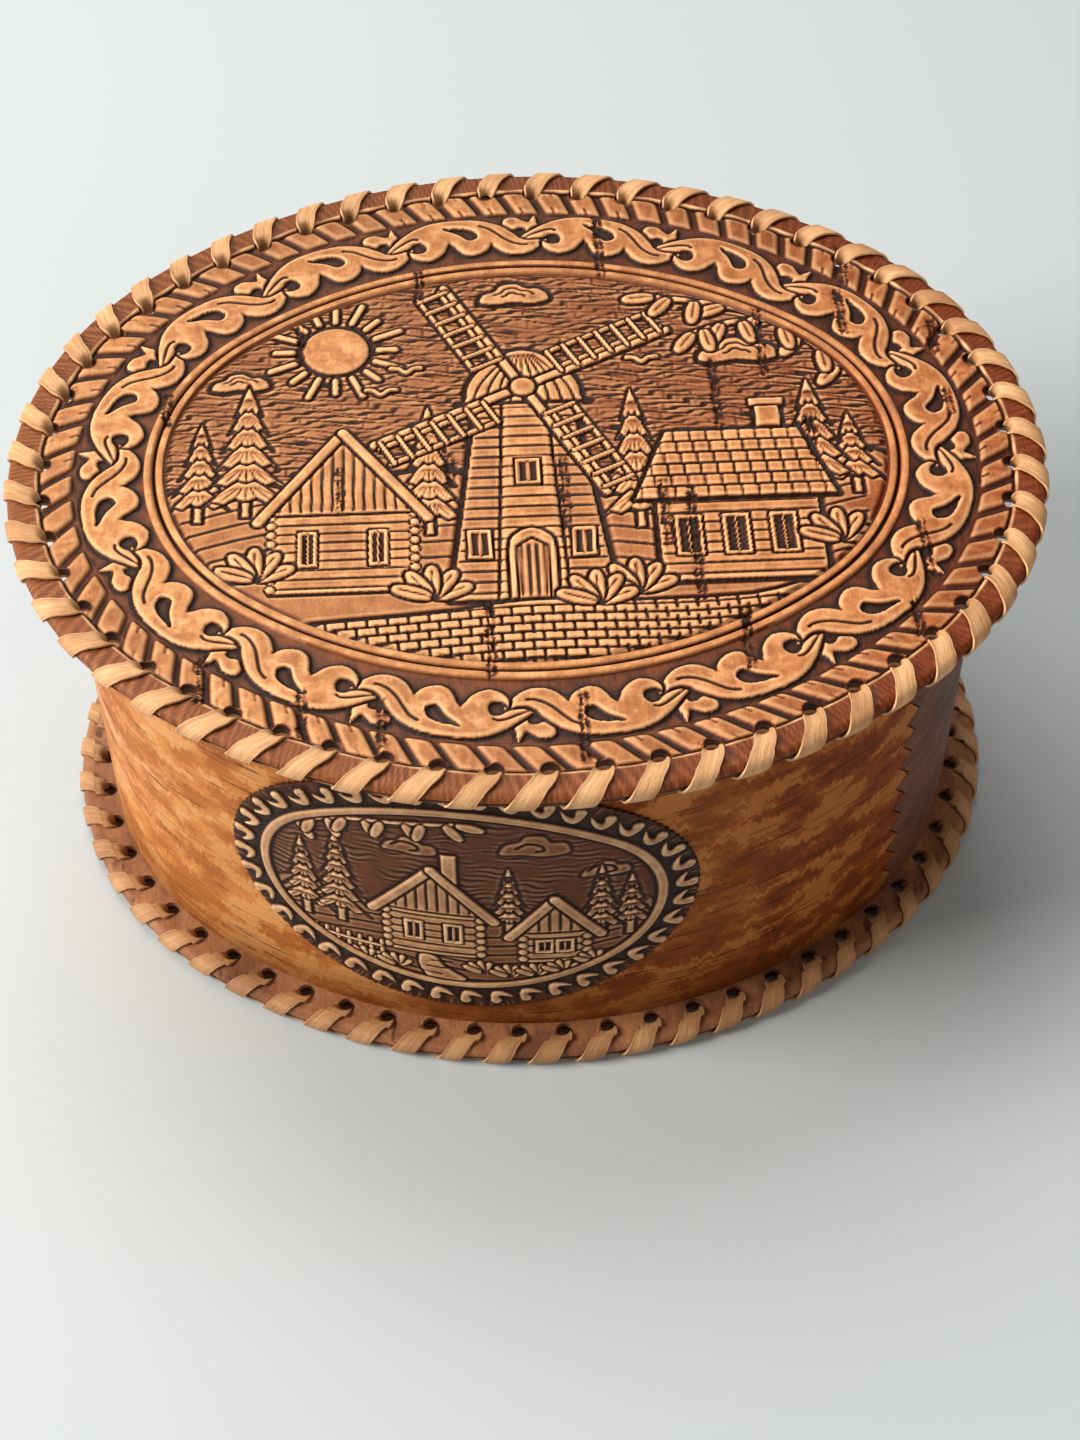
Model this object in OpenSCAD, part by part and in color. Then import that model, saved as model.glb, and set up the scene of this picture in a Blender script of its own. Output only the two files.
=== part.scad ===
// Oval birch bark box with a lift-off lid.
// Lid and base are stacks of glued bark sheets that stand out past the wall.
// Each rim is punched with a row of holes and whipped with four bark strips.
// The frame: origin on the floor under the middle, +Z up, front towards -Y.
// Every oval is four true arcs, so an inset oval keeps the same centres.

/* [Outline of the lid] */
// Half length of the lid's bare edge, along X
lid_half_length = 100; // [92:1:112]
// Half width of the lid's bare edge, along Y
lid_half_width = 84; // [80:1:92]
// Radius of the two end arcs of the lid's edge
end_radius = 74; // [68:1:76]

/* [Bark sheets] */
// Thickness of the embossed sheet on the lid and the top sheet of the base
face_t = 1.3; // [1:0.1:2]
// Thickness of the stiff bark board inside each rim
core_t = 1.2; // [0.8:0.1:2]
// Thickness of the inner sheet of the lid and the under sheet of the base
back_t = 0.7; // [0.5:0.1:1.2]
// How far the board's edge stays back from the sheets around it
core_setback = 0.5; // [0.2:0.1:1]
// Glue line between bent sheets
glue = 0.05; // [0.02:0.01:0.1]

/* [Wall] */
// Height of the wall from the base to the lid
wall_height = 83.7; // [60:1:110]
// Distance from the lid's edge in to the wall's outer face
wall_inset = 9.8; // [9:0.1:14]
// Thickness of the outer wall sheets
wall_outer_t = 1.2; // [0.8:0.1:2]
// Thickness of the inner wall sheet
wall_inner_t = 1.2; // [0.8:0.1:2]
// Place of the toothed seam on the right, along the wall from the front middle
seam_right = 78; // [70:1:95]
// Place of the edge on the left, along the wall from the front middle
seam_left = -113; // [-120:1:-95]
// Depth of the teeth in the right seam
tooth_depth = 3.5; // [2:0.5:5]
// Depth of the small nicks in the left edge
nick_depth = 0.9; // [0.5:0.1:2]
// Height of one tooth
tooth_pitch = 6.75; // [5:0.25:10]
// Height of the first tooth's root above the wall's foot
tooth_start = 2; // [1:0.5:5]
// Open slit between the two outer sheets
seam_gap = 0.4; // [0.2:0.1:0.8]

/* [Lid] */
// Number of punched holes round the lid
lid_holes = 55; // [45:1:60]
// Distance from the lid's edge in to the middle of its holes
lid_hole_setback = 6.5; // [6:0.1:7.5]
// Height of the collar that enters the wall
collar_height = 12; // [8:1:20]
// Thickness of the collar
collar_t = 1; // [0.8:0.1:1.5]
// Clearance between collar and wall, all round
collar_clearance = 0.4; // [0.3:0.1:0.8]
// Clearance under the lid where it sits on the wall
seat_gap = 0.2; // [0.1:0.1:0.5]
// Width of the plain band between the lid's edge and its relief
plain_band = 11.5; // [10:0.5:14]
// Depth of the ground of the relief
relief_depth = 0.5; // [0.3:0.1:0.7]
// Half length of the double ring round the middle field
ring_half_length = 74; // [66:1:80]
// Half width of that ring
ring_half_width = 56.5; // [50:0.5:62]
// Radius of its end arcs
ring_end_radius = 46.5; // [40:0.5:49.5]
// Width of each of its two raised lines
ring_w = 1.7; // [1:0.1:3]
// Space between its two raised lines
ring_space = 0.6; // [0.4:0.1:3]

/* [Base] */
// How far the base's edge stays back from the lid's edge
base_inset = 2.4; // [1:0.1:3]
// Number of punched holes round the base
base_holes = 59; // [45:1:63]
// Clearance between the wall's foot and the edge of the base's holes
hole_clearance = 0.1; // [0.1:0.1:0.4]
// Thickness of the board that is glued inside the wall's foot
floor_t = 1.6; // [1:0.1:3]
// Clearance round that board
floor_clearance = 0.2; // [0.1:0.1:0.5]

/* [Lacing] */
// Diameter of the punched holes
hole_d = 3.6; // [3.4:0.1:4]
// Thickness of the bark strips
strip_t = 0.6; // [0.4:0.1:0.7]
// Width of a strip where it lies flat on the rim
strip_w = 5.9; // [4:0.1:6.5]
// Width of a strip where it is gathered inside a hole
strip_neck = 2.4; // [1.8:0.1:2.6]
// Clearance between a strip and the rim under it
strip_gap = 0.1; // [0.08:0.01:0.2]
// How much higher a strip arches where it leaves its hole on top
strip_arch = 0.45; // [0.2:0.05:0.6]
// Number of strips in each rim
strips = 4; // [2:1:6]

/* [Front medallion] */
// Place of the medallion's middle, along the wall from the front middle
medal_place = -16.4; // [-25:0.1:25]
// Height of the medallion's middle above the floor
medal_z = 46.6; // [44:0.1:50]
// Half length of the medallion
medal_half_length = 44.7; // [36:0.1:48]
// Half height of the medallion
medal_half_height = 36; // [32:0.5:36]
// Radius of the medallion's end arcs
medal_end_radius = 31; // [28:0.5:31.5]
// Thickness of the medallion's ground
medal_t = 0.8; // [0.6:0.1:1.2]
// Height of its raised oval line above the ground
medal_line_h = 0.5; // [0.3:0.1:0.8]
// Width of the raised oval line
medal_line_w = 1.6; // [1:0.1:3]
// Distance from the medallion's edge in to the raised oval line
medal_line_inset = 6.8; // [5:0.1:10]

/* [Hidden] */
$fn = 180;

lid_oval = [lid_half_length, lid_half_width, end_radius];
ring_oval = [ring_half_length, ring_half_width, ring_end_radius];
medal_oval = [medal_half_length, medal_half_height, medal_end_radius];

// Heights, from the floor up
rim_t = face_t + core_t + back_t;
base_z = strip_gap + strip_t;
base_top = base_z + rim_t;
wall_top = base_top + wall_height;
lid_z = wall_top + seat_gap;
lid_top = lid_z + rim_t;

// Insets from the lid's edge
base_hole_inset = wall_inset - hole_clearance - hole_d / 2;
inner_sheet_inset = wall_inset + wall_outer_t + glue;
bore_inset = inner_sheet_inset + wall_inner_t;
collar_inset = bore_inset + collar_clearance;

// Reach of cutting shapes past what they cut
over = 1;
// Overlap of a flat plate and the ring that rounds its edge
plate_lap = 2;
edge_band = 9;
// Colours of the bark
tan_bark = "#C9834A";
rim_bark = "#8A5236";
wall_bark = "#B56B35";
grey_bark = "#6B5147";
strip_bark = "#E3B577";
dark_bark = "#2A1712";

// ---- The four-arc oval: o = [half length, half width, end radius] ----

// Radius of the long side arcs, so that they meet the end arcs smoothly
function side_radius(o) =
    (o[0] * o[0] - 2 * o[0] * o[2] + o[1] * o[1]) / (2 * (o[1] - o[2]));
function end_x(o) = o[0] - o[2];
function side_y(o) = side_radius(o) - o[1];
// Heading of the outward normal where an end arc meets a side arc
function join_angle(o) = atan2(side_y(o), end_x(o));

// Arc lengths of one quarter of the oval that lies inset inside o
function end_length(o, inset) = (o[2] - inset) * join_angle(o) * PI / 180;
function side_length(o, inset) = (side_radius(o) - inset) * (90 - join_angle(o)) * PI / 180;
function quarter(o, inset) = end_length(o, inset) + side_length(o, inset);

// Heading of the normal after arc length t from the tip, within one quarter
function quarter_heading(o, inset, t) =
    t < end_length(o, inset)
        ? t / (o[2] - inset) * 180 / PI
        : join_angle(o) + (t - end_length(o, inset)) / (side_radius(o) - inset) * 180 / PI;

// Heading of the normal after arc length s, counter-clockwise from +X
function heading(o, inset, s) =
    let (q = quarter(o, inset), k = floor(s / q), t = s - k * q)
    k % 2 == 0
        ? 90 * k + quarter_heading(o, inset, t)
        : 90 * (k + 1) - quarter_heading(o, inset, q - t);

// The point of the inset oval whose outward normal has the heading a
function on_oval(o, inset, a) =
    let (c = cos(a), s = sin(a), end = atan2(abs(s), abs(c)) <= join_angle(o))
    end
        ? [sign(c) * end_x(o) + (o[2] - inset) * c, (o[2] - inset) * s]
        : [(side_radius(o) - inset) * c, (side_radius(o) - inset) * s - sign(s) * side_y(o)];

// Heading at a place that is measured along the wall from the front middle
function wall_heading(place) =
    heading(lid_oval, wall_inset, 3 * quarter(lid_oval, wall_inset) + place);

// A point far out on the line where an end arc meets a side arc
function join_ray(o) =
    let (far = 3 * o[0], a = join_angle(o))
    [end_x(o) + far * cos(a), far * sin(a)];

// The part of the plane that one end arc spans
module end_wedge(o) {
    ray = join_ray(o);
    tip = 4 * o[0];
    polygon([[end_x(o), 0], ray, [tip, ray[1]], [tip, -ray[1]], [ray[0], -ray[1]]]);
}

// The part of the plane that one side arc spans
module side_wedge(o) {
    ray = join_ray(o);
    polygon([[end_x(o), 0], ray, [-ray[0], ray[1]], [-end_x(o), 0]]);
}

// Flat oval: four sectors that meet along the same four lines
module oval(o, inset = 0) {
    for (turn = [0, 180])
        rotate(turn) {
            intersection() {
                translate([end_x(o), 0]) circle(o[2] - inset);
                end_wedge(o);
            }
            intersection() {
                translate([0, -side_y(o)]) circle(side_radius(o) - inset);
                side_wedge(o);
            }
        }
}

// Carries a profile round the oval; its x axis points outwards from the inset oval
module around(o, inset) {
    tall = 2 * (lid_top + over);
    for (turn = [0, 180])
        rotate(turn) {
            intersection() {
                translate([end_x(o), 0, 0]) rotate_extrude() translate([o[2] - inset, 0]) children();
                linear_extrude(tall, center = true) end_wedge(o);
            }
            intersection() {
                translate([0, -side_y(o), 0]) rotate_extrude()
                    translate([side_radius(o) - inset, 0]) children();
                linear_extrude(tall, center = true) side_wedge(o);
            }
        }
}

// Places a piece at a point of the oval, its x axis along the outward normal
module at_oval(o, inset, a) {
    translate(on_oval(o, inset, a)) rotate(a) children();
}

// ---- Rims of lid and base ----

// Section of a whole rim: its edge is a half round as thick as the stack
module rim_section(z) {
    half = rim_t / 2;
    translate([-half, z + half]) circle(half);
    translate([-edge_band, z]) square([edge_band - half, rim_t]);
}

// One sheet of a rim stack that starts at stack_z, with the stack's rounded edge
module rim_sheet(inset, stack_z, z, t) {
    translate([0, 0, z]) linear_extrude(t) oval(lid_oval, inset + edge_band - plate_lap);
    around(lid_oval, inset) intersection() {
        rim_section(stack_z);
        translate([-edge_band, z]) square([edge_band + over, t]);
    }
}

// The board inside a stack stays back from the edge and is cut square
module rim_board(inset, z) {
    translate([0, 0, z]) linear_extrude(core_t) oval(lid_oval, inset + core_setback);
}

// Row of punched holes; phase is the share of a pitch before the first hole
module hole_row(inset, count, phase, z) {
    pitch = 4 * quarter(lid_oval, inset) / count;
    for (i = [0 : count - 1])
        at_oval(lid_oval, inset, heading(lid_oval, inset, (i + phase) * pitch))
            translate([0, 0, z - over]) cylinder(d = hole_d, h = rim_t + 2 * over, $fn = 24);
}

lid_phase = 0.32;
base_phase = 0.66;
module lid_hole_row() {
    hole_row(lid_hole_setback, lid_holes, lid_phase, lid_z);
}
module base_hole_row() {
    hole_row(base_hole_inset, base_holes, base_phase, base_z);
}

// ---- Lacing: one bark strip sewn over and over through part of a rim ----

// Rings of one turn, as [share of the pitch, distance out from the hole row,
// height from the rim's middle, width, heading of its outer side, half thickness].
// The strip climbs out of a hole, arches over, runs out to the rounded edge,
// folds round it and comes back underneath to the next hole.
function turn_rings(reach) =
    let (
        half = rim_t / 2,
        lie = half + strip_gap + strip_t / 2,
        fold_x = reach - half,
        fold_r = lie / cos(22.5),
        mitre = strip_t / 2 / cos(22.5)
    )
    [
        [0.03, 0.35, half + 0.25, strip_neck, 140, strip_t / 2],
        [0.16, 2.0, lie + strip_arch, strip_w - 0.7, 86, strip_t / 2],
        [0.40, fold_x + fold_r * cos(67.5), fold_r * sin(67.5), strip_w, 67.5, mitre],
        [0.47, fold_x + fold_r * cos(22.5), fold_r * sin(22.5), strip_w, 22.5, mitre],
        [0.53, fold_x + fold_r * cos(22.5), -fold_r * sin(22.5), strip_w, -22.5, mitre],
        [0.60, fold_x + fold_r * cos(67.5), -fold_r * sin(67.5), strip_w, -67.5, mitre],
        [0.84, 1.9, -lie, strip_w - 0.7, -90, strip_t / 2],
        [0.97, 0.35, -half - 0.25, strip_neck, -140, strip_t / 2]
    ];

// Half of the space between two strips whose ends share a hole
strip_end = 0.15;

// Four corners of a section; the strip advances clockwise, against the count
function strip_section(inset, pitch, z, hole, ring) =
    let (s = (hole - ring[0]) * pitch)
    [
        for (c = [[-1, -1], [1, -1], [1, 1], [-1, 1]])
            let (
                a = heading(lid_oval, inset, s + c[0] * ring[3] / 2),
                out = ring[1] + c[1] * ring[5] * cos(ring[4]),
                p = on_oval(lid_oval, inset, a)
            )
            [p[0] + out * cos(a), p[1] + out * sin(a), z + ring[2] + c[1] * ring[5] * sin(ring[4])]
    ];

module strip(inset, reach, count, phase, z, number) {
    pitch = 4 * quarter(lid_oval, inset) / count;
    first = floor((number - 1) * count / strips);
    last = floor(number * count / strips);
    in_hole = function (h) [0, 0, h, strip_neck, 180, strip_t / 2];
    rings = [
        for (k = [first : last - 1])
            each concat(
                [[k, in_hole(k == first ? strip_end : 0)]],
                [for (ring = turn_rings(reach)) [k, ring]]
            ),
        [last, in_hole(-strip_end)]
    ];
    sections = [
        for (r = rings)
            strip_section(inset, pitch, z + rim_t / 2, count + phase - r[0], r[1])
    ];
    n = len(sections);
    side_faces = [
        for (i = [0 : n - 2], j = [0 : 3])
            let (a = 4 * i + j, b = 4 * i + (j + 1) % 4)
            each [[a, b + 4, b], [a, a + 4, b + 4]]
    ];
    caps = [[0, 2, 3], [0, 1, 2], [4 * n - 4, 4 * n - 2, 4 * n - 3], [4 * n - 4, 4 * n - 1, 4 * n - 2]];
    color(strip_bark)
        polyhedron(points = [for (section = sections) each section], faces = concat(side_faces, caps));
}

module lid_lace(number) {
    strip(lid_hole_setback, lid_hole_setback, lid_holes, lid_phase, lid_z, number);
}
module base_lace(number) {
    strip(base_hole_inset, base_hole_inset - base_inset, base_holes, base_phase, base_z, number);
}

// ---- The lid ----

// Flat ring between an inset oval and one that lies w further in
module oval_line(o, inset, w) {
    difference() {
        oval(o, inset);
        oval(o, inset + w);
    }
}

module lid_panel() {
    color(tan_bark) difference() {
        rim_sheet(0, lid_z, lid_top - face_t, face_t);
        lid_hole_row();
        difference() {
            translate([0, 0, lid_top - relief_depth]) linear_extrude(relief_depth + over)
                oval(lid_oval, plain_band);
            for (k = [0, 1])
                translate([0, 0, lid_top - face_t]) linear_extrude(face_t + 2 * over)
                    oval_line(ring_oval, k * (ring_w + ring_space), ring_w);
        }
    }
}

module lid_core() {
    color(rim_bark) difference() {
        rim_board(0, lid_z + back_t);
        lid_hole_row();
    }
}

module lid_lining() {
    color(wall_bark) difference() {
        rim_sheet(0, lid_z, lid_z, back_t);
        lid_hole_row();
    }
}

// A bent sheet whose ends meet in a slanted butt joint at the back
module bent_ring(inset, t, z, h) {
    difference() {
        around(lid_oval, inset) translate([-t, z]) square([t, h]);
        at_oval(lid_oval, inset, 90) rotate([90, 0, 90]) translate([0, z, -over - t]) linear_extrude(t + 2 * over)
            polygon([[-h / 4, -over], [seam_gap - h / 4, -over], [seam_gap + h / 4, h + over], [h / 4, h + over]]);
    }
}

module lid_collar() {
    color(wall_bark) bent_ring(collar_inset, collar_t, lid_z - collar_height, collar_height);
}

// ---- The wall ----

module wall_inner() {
    color(wall_bark) bent_ring(inner_sheet_inset, wall_inner_t, base_top, wall_height);
}

module wall_sheet() {
    around(lid_oval, wall_inset) translate([-wall_outer_t, base_top]) square([wall_outer_t, wall_height]);
}

// Toothed edge: the front sheet lies at negative x, its teeth point to positive x
module toothed_zone(depth, reach) {
    rotate([90, 0, 90]) translate([0, base_top, -reach]) linear_extrude(2 * reach) polygon([
        [-reach, wall_height + 2 * tooth_pitch],
        [-reach, -2 * tooth_pitch],
        [0, -2 * tooth_pitch],
        for (z = [tooth_start - tooth_pitch : tooth_pitch : wall_height + tooth_pitch / 2])
            each [[0, z], [depth, z + tooth_pitch / 3]],
        [0, wall_height + 2 * tooth_pitch]
    ]);
}

// Everything that belongs to the front sheet, widened by grow at both seams
module front_zone(grow) {
    reach = 8;
    inner = 3;
    far = 2 * lid_half_length;
    right = wall_heading(seam_right - reach + inner);
    left = wall_heading(seam_left + reach - inner);
    translate([0, 0, base_top - over]) linear_extrude(wall_height + 2 * over) polygon([
        on_oval(lid_oval, wall_inset + 2 * reach, right),
        on_oval(lid_oval, wall_inset - 2 * reach, right),
        [far, -far], [-far, -far],
        on_oval(lid_oval, wall_inset - 2 * reach, left),
        on_oval(lid_oval, wall_inset + 2 * reach, left)
    ]);
    at_oval(lid_oval, wall_inset, wall_heading(seam_right))
        translate([0, grow, 0]) toothed_zone(tooth_depth, reach);
    at_oval(lid_oval, wall_inset, wall_heading(seam_left))
        mirror([0, 1, 0]) translate([0, grow, 0]) toothed_zone(nick_depth, reach);
}

module wall_front() {
    color(wall_bark) intersection() {
        wall_sheet();
        front_zone(0);
    }
}

module wall_back() {
    color(grey_bark) difference() {
        wall_sheet();
        front_zone(seam_gap);
    }
}

// Thin embossed oval that is glued to the front of the wall and bends with it
module medallion() {
    a = wall_heading(medal_place);
    sweep = 80;
    reach = 20;
    radius = side_radius(lid_oval) - wall_inset + glue;
    color(dark_bark) for (part = [[medal_t, 0], [medal_t + medal_line_h, medal_line_inset]])
        intersection() {
            translate([0, side_y(lid_oval), medal_z - medal_half_height - over])
                rotate(a - sweep / 2) rotate_extrude(angle = sweep)
                    translate([radius, 0]) square([part[0], 2 * (medal_half_height + over)]);
            at_oval(lid_oval, wall_inset, a) rotate([90, 0, 90]) translate([0, medal_z, -reach])
                linear_extrude(2 * reach) difference() {
                    oval(medal_oval, part[1]);
                    if (part[1] > 0)
                        oval(medal_oval, part[1] + medal_line_w);
                }
        }
}

// Stiff board glued to the base and to the wall's foot
module floor_board() {
    color(rim_bark) translate([0, 0, base_top]) linear_extrude(floor_t)
        oval(lid_oval, bore_inset + floor_clearance);
}

// ---- The base ----

module base_panel() {
    color(rim_bark) difference() {
        rim_sheet(base_inset, base_z, base_top - face_t, face_t);
        base_hole_row();
    }
}

module base_core() {
    color(rim_bark) difference() {
        rim_board(base_inset, base_z + back_t);
        base_hole_row();
    }
}

module base_bottom() {
    color(wall_bark) difference() {
        rim_sheet(base_inset, base_z, base_z, back_t);
        base_hole_row();
    }
}

lid_panel();
lid_core();
lid_lining();
lid_collar();
lid_lace(1);  // lid_lace_1
lid_lace(2);  // lid_lace_2
lid_lace(3);  // lid_lace_3
lid_lace(4);  // lid_lace_4
wall_inner();
wall_front();
wall_back();
medallion();
floor_board();
base_panel();
base_core();
base_bottom();
base_lace(1);  // base_lace_1
base_lace(2);  // base_lace_2
base_lace(3);  // base_lace_3
base_lace(4);  // base_lace_4
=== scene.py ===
"""Oval birch bark box: a carved lift-off lid, a bent wall with a dark plaque, and two laced rims."""

import bmesh
import bpy
import numpy as np
from mathutils import Matrix


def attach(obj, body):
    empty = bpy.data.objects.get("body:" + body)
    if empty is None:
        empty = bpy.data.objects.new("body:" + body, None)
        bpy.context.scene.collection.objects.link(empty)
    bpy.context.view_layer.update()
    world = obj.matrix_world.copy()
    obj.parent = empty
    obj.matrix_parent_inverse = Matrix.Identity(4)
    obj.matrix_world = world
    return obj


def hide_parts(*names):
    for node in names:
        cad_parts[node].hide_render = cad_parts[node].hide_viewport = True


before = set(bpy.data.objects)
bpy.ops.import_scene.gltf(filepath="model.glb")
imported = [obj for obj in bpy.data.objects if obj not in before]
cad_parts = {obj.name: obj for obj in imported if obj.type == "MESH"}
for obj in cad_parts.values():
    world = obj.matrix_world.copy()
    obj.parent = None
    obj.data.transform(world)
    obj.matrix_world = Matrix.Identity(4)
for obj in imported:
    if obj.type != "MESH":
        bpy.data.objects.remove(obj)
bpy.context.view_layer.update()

# ---- Base sheets ----
# Three sheets glued flat on each other. The top one is darker outer bark, the middle one is a stiff
# board that stays back from the edge, painted near black as painted shade for the insides of the
# punched holes. A fourth sits inside the foot of the wall.
MM = 0.001
RIM_COLOURS = (0.06, 0.022, 0.014), (0.27, 0.098, 0.042), (0.46, 0.20, 0.082)
UNDER_COLOURS = RIM_COLOURS[1], (0.47, 0.21, 0.085), (0.62, 0.33, 0.16)
# The board's colours are painted shade: near black, so that the punched holes look dark.
BOARD_SHADE_COLOURS = (0.02, 0.008, 0.004), (0.085, 0.032, 0.013), (0.18, 0.08, 0.036)


def feed(tree, sockets, values):
    """Feeds sockets with values or with other nodes' outputs. A colour is given without its alpha."""
    for key, value in dict(values).items():
        if isinstance(value, bpy.types.NodeSocket):
            tree.links.new(value, sockets[key])
        else:
            sockets[key].default_value = (*value, 1) if sockets[key].type == "RGBA" else value


def add(tree, kind, inputs=(), **settings):
    """Adds a shader node with its settings and feeds its inputs."""
    new = tree.nodes.new("ShaderNode" + kind)
    for key, value in settings.items():
        setattr(new, key, value)
    feed(tree, new.inputs, inputs)
    return new


def mixed(tree, share, first, second, way="MIX"):
    """A colour between two colours."""
    inputs = {0: share, 6: first, 7: second}
    return add(tree, "Mix", inputs, data_type="RGBA", blend_type=way, clamp_result=True).outputs[2]


def spread(tree, value, low, high, to_low=0.0, to_high=1.0):
    """Stretches a value so that low to high becomes to_low to to_high, with nothing outside."""
    return add(tree, "MapRange", {0: value, 1: low, 2: high, 3: to_low, 4: to_high}).outputs[0]


def layered(tree, colour, layers):
    """Lays colours over a colour. A layer is a value, the low and high between which its share grows
    from 0 to its most, that most, and its colour."""
    for value, low, high, most, other, *way in layers:
        colour = mixed(tree, spread(tree, value, low, high, 0.0, most), colour, other, *way)
    return colour


def calculated(tree, operation, first, second, kind="Math"):
    """The outcome of adding, subtracting or multiplying two numbers, or two vectors (VectorMath)."""
    return add(tree, kind, {0: first, 1: second}, operation=operation).outputs[0]


def noise(tree, place, scale, detail, roughness=0.5, distortion=0.0):
    """Cloudy noise at a place: as a value (0) and as a colour (1)."""
    inputs = {"Vector": place, "Scale": scale, "Detail": detail, "Roughness": roughness}
    return add(tree, "TexNoise", {**inputs, "Distortion": distortion}).outputs


def grouped(name, inputs, outputs):
    """A new node group with named sockets; returns it with what enters it and what it puts out."""
    group = bpy.data.node_groups.new(name, "ShaderNodeTree")
    for way, sockets in (("INPUT", inputs), ("OUTPUT", outputs)):
        for socket, kind in sockets.items():
            group.interface.new_socket(socket, in_out=way, socket_type="NodeSocket" + kind)
    return group, group.nodes.new("NodeGroupInput").outputs, group.nodes.new("NodeGroupOutput").inputs


def bark_figure():
    """Group: the figure of bark. Streaks are fine lines drawn out along the short side of Stretch,
    Blotches are clouds some centimetres wide, Flecks are short dark dashes, Pores fine grain."""
    outputs = {"Streaks": "Float", "Blotches": "Float", "Flecks": "Float", "Pores": "Float"}
    group, inside, out = grouped("bark_figure", {"Place": "Vector", "Stretch": "Vector"}, outputs)
    place = inside["Place"]
    bend = add(group, "VectorMath", {0: noise(group, place, 60.0, 2.0)[1], "Scale": 0.5}, operation="SCALE")
    drawn = calculated(group, "MULTIPLY", place, inside["Stretch"], "VectorMath")
    drawn = calculated(group, "ADD", drawn, bend.outputs[0], "VectorMath")
    streaks = spread(group, noise(group, drawn, 1.0, 6.0, 0.68)[0], 0.33, 0.67)
    blotches = spread(group, noise(group, place, 42.0, 5.0, 0.62)[0], 0.36, 0.66)
    flecks = spread(group, noise(group, drawn, 1.5, 2.0, 0.5, 0.3)[0], 0.64, 0.7)
    pores = noise(group, place, 1400.0, 3.0, 0.6)[0]
    feed(group, out, {"Streaks": streaks, "Blotches": blotches, "Flecks": flecks, "Pores": pores})
    return group


BARK_FIGURE = bark_figure()


def figured(tree, source, stretch):
    """The figure's outputs, read at source."""
    return add(tree, "Group", {"Place": source, "Stretch": stretch}, node_tree=BARK_FIGURE).outputs


def plain_bark():
    """Group: plain sheet bark, brown, drawn out in dark and tan streaks, with clouds and dark flecks.
    Smooth is high on the streaks and Height is the relief of the fine lines."""
    inputs = {"Place": "Vector", "Stretch": "Vector", "Dark": "Color", "Brown": "Color", "Tan": "Color"}
    outputs = {"Colour": "Color", "Smooth": "Float", "Height": "Float"}
    group, inside, out = grouped("plain_bark", inputs, outputs)
    dark, brown = inside["Dark"], inside["Brown"]
    figure = figured(group, inside["Place"], inside["Stretch"])
    colour = mixed(group, figure["Streaks"], brown, inside["Tan"])
    layers = (
        (figure["Blotches"], 0.1, 1.0, 0.75, brown),
        (figure["Blotches"], 0.55, 1.0, 0.55, dark),
        (figure["Flecks"], 0.0, 1.0, 0.7, dark),
        (figure["Pores"], 0.35, 0.7, 0.28, dark),
    )
    height = calculated(group, "ADD", figure["Streaks"], figure["Pores"])
    height = calculated(group, "SUBTRACT", height, figure["Flecks"])
    colour = layered(group, colour, layers)
    feed(group, out, {"Colour": colour, "Smooth": figure["Streaks"], "Height": height})
    return group


PLAIN_BARK = plain_bark()


def finished(name, roughness, sheen=0.3):
    """A new material; returns it with its node tree and its Principled shader."""
    material = bpy.data.materials.new(name)
    material.use_nodes = True
    shader = material.node_tree.nodes["Principled BSDF"]
    shader.inputs["Roughness"].default_value = roughness
    shader.inputs["Specular IOR Level"].default_value = sheen
    return material, material.node_tree, shader


def coated(tree, shader, colour, height, distance):
    """Gives the shader its colour and the relief of a height; 1 of it stands for a distance in metres."""
    bump = add(tree, "Bump", {"Height": height, "Distance": distance}).outputs[0]
    feed(tree, shader.inputs, {"Base Color": colour, "Normal": bump})


def sheet_bark(name, colours, stretch, roughness, relief=0.00012):
    """A material of plain sheet bark in three colours, from dark to tan."""
    material, tree, shader = finished(name, roughness, 0.18)
    place = add(tree, "TexCoord").outputs["Object"]
    inputs = {"Place": place, "Stretch": stretch, **dict(zip(("Dark", "Brown", "Tan"), colours))}
    bark = add(tree, "Group", inputs, node_tree=PLAIN_BARK).outputs
    coated(tree, shader, bark["Colour"], bark["Height"], relief)
    rough = spread(tree, bark["Smooth"], 0, 1, roughness + 0.12, roughness - 0.1)
    feed(tree, shader.inputs, {"Roughness": rough})
    return material


def dressed(node, material):
    """Gives a CAD node its material."""
    materials = bpy.data.objects[node].data.materials
    materials.clear()
    materials.append(material)


rim_bark = sheet_bark("rim_bark", RIM_COLOURS, (240, 60, 240), 0.5)
under_bark = sheet_bark("under_bark", UNDER_COLOURS, (260, 40, 260), 0.55)
# The board is painted near black: painted shade inside the holes.
bark_board = sheet_bark("bark_board", BOARD_SHADE_COLOURS, (400, 90, 700), 0.7)
dressed("base_panel", rim_bark)
dressed("base_core", bark_board)
dressed("base_bottom", under_bark)
dressed("floor_board", under_bark)


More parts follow.
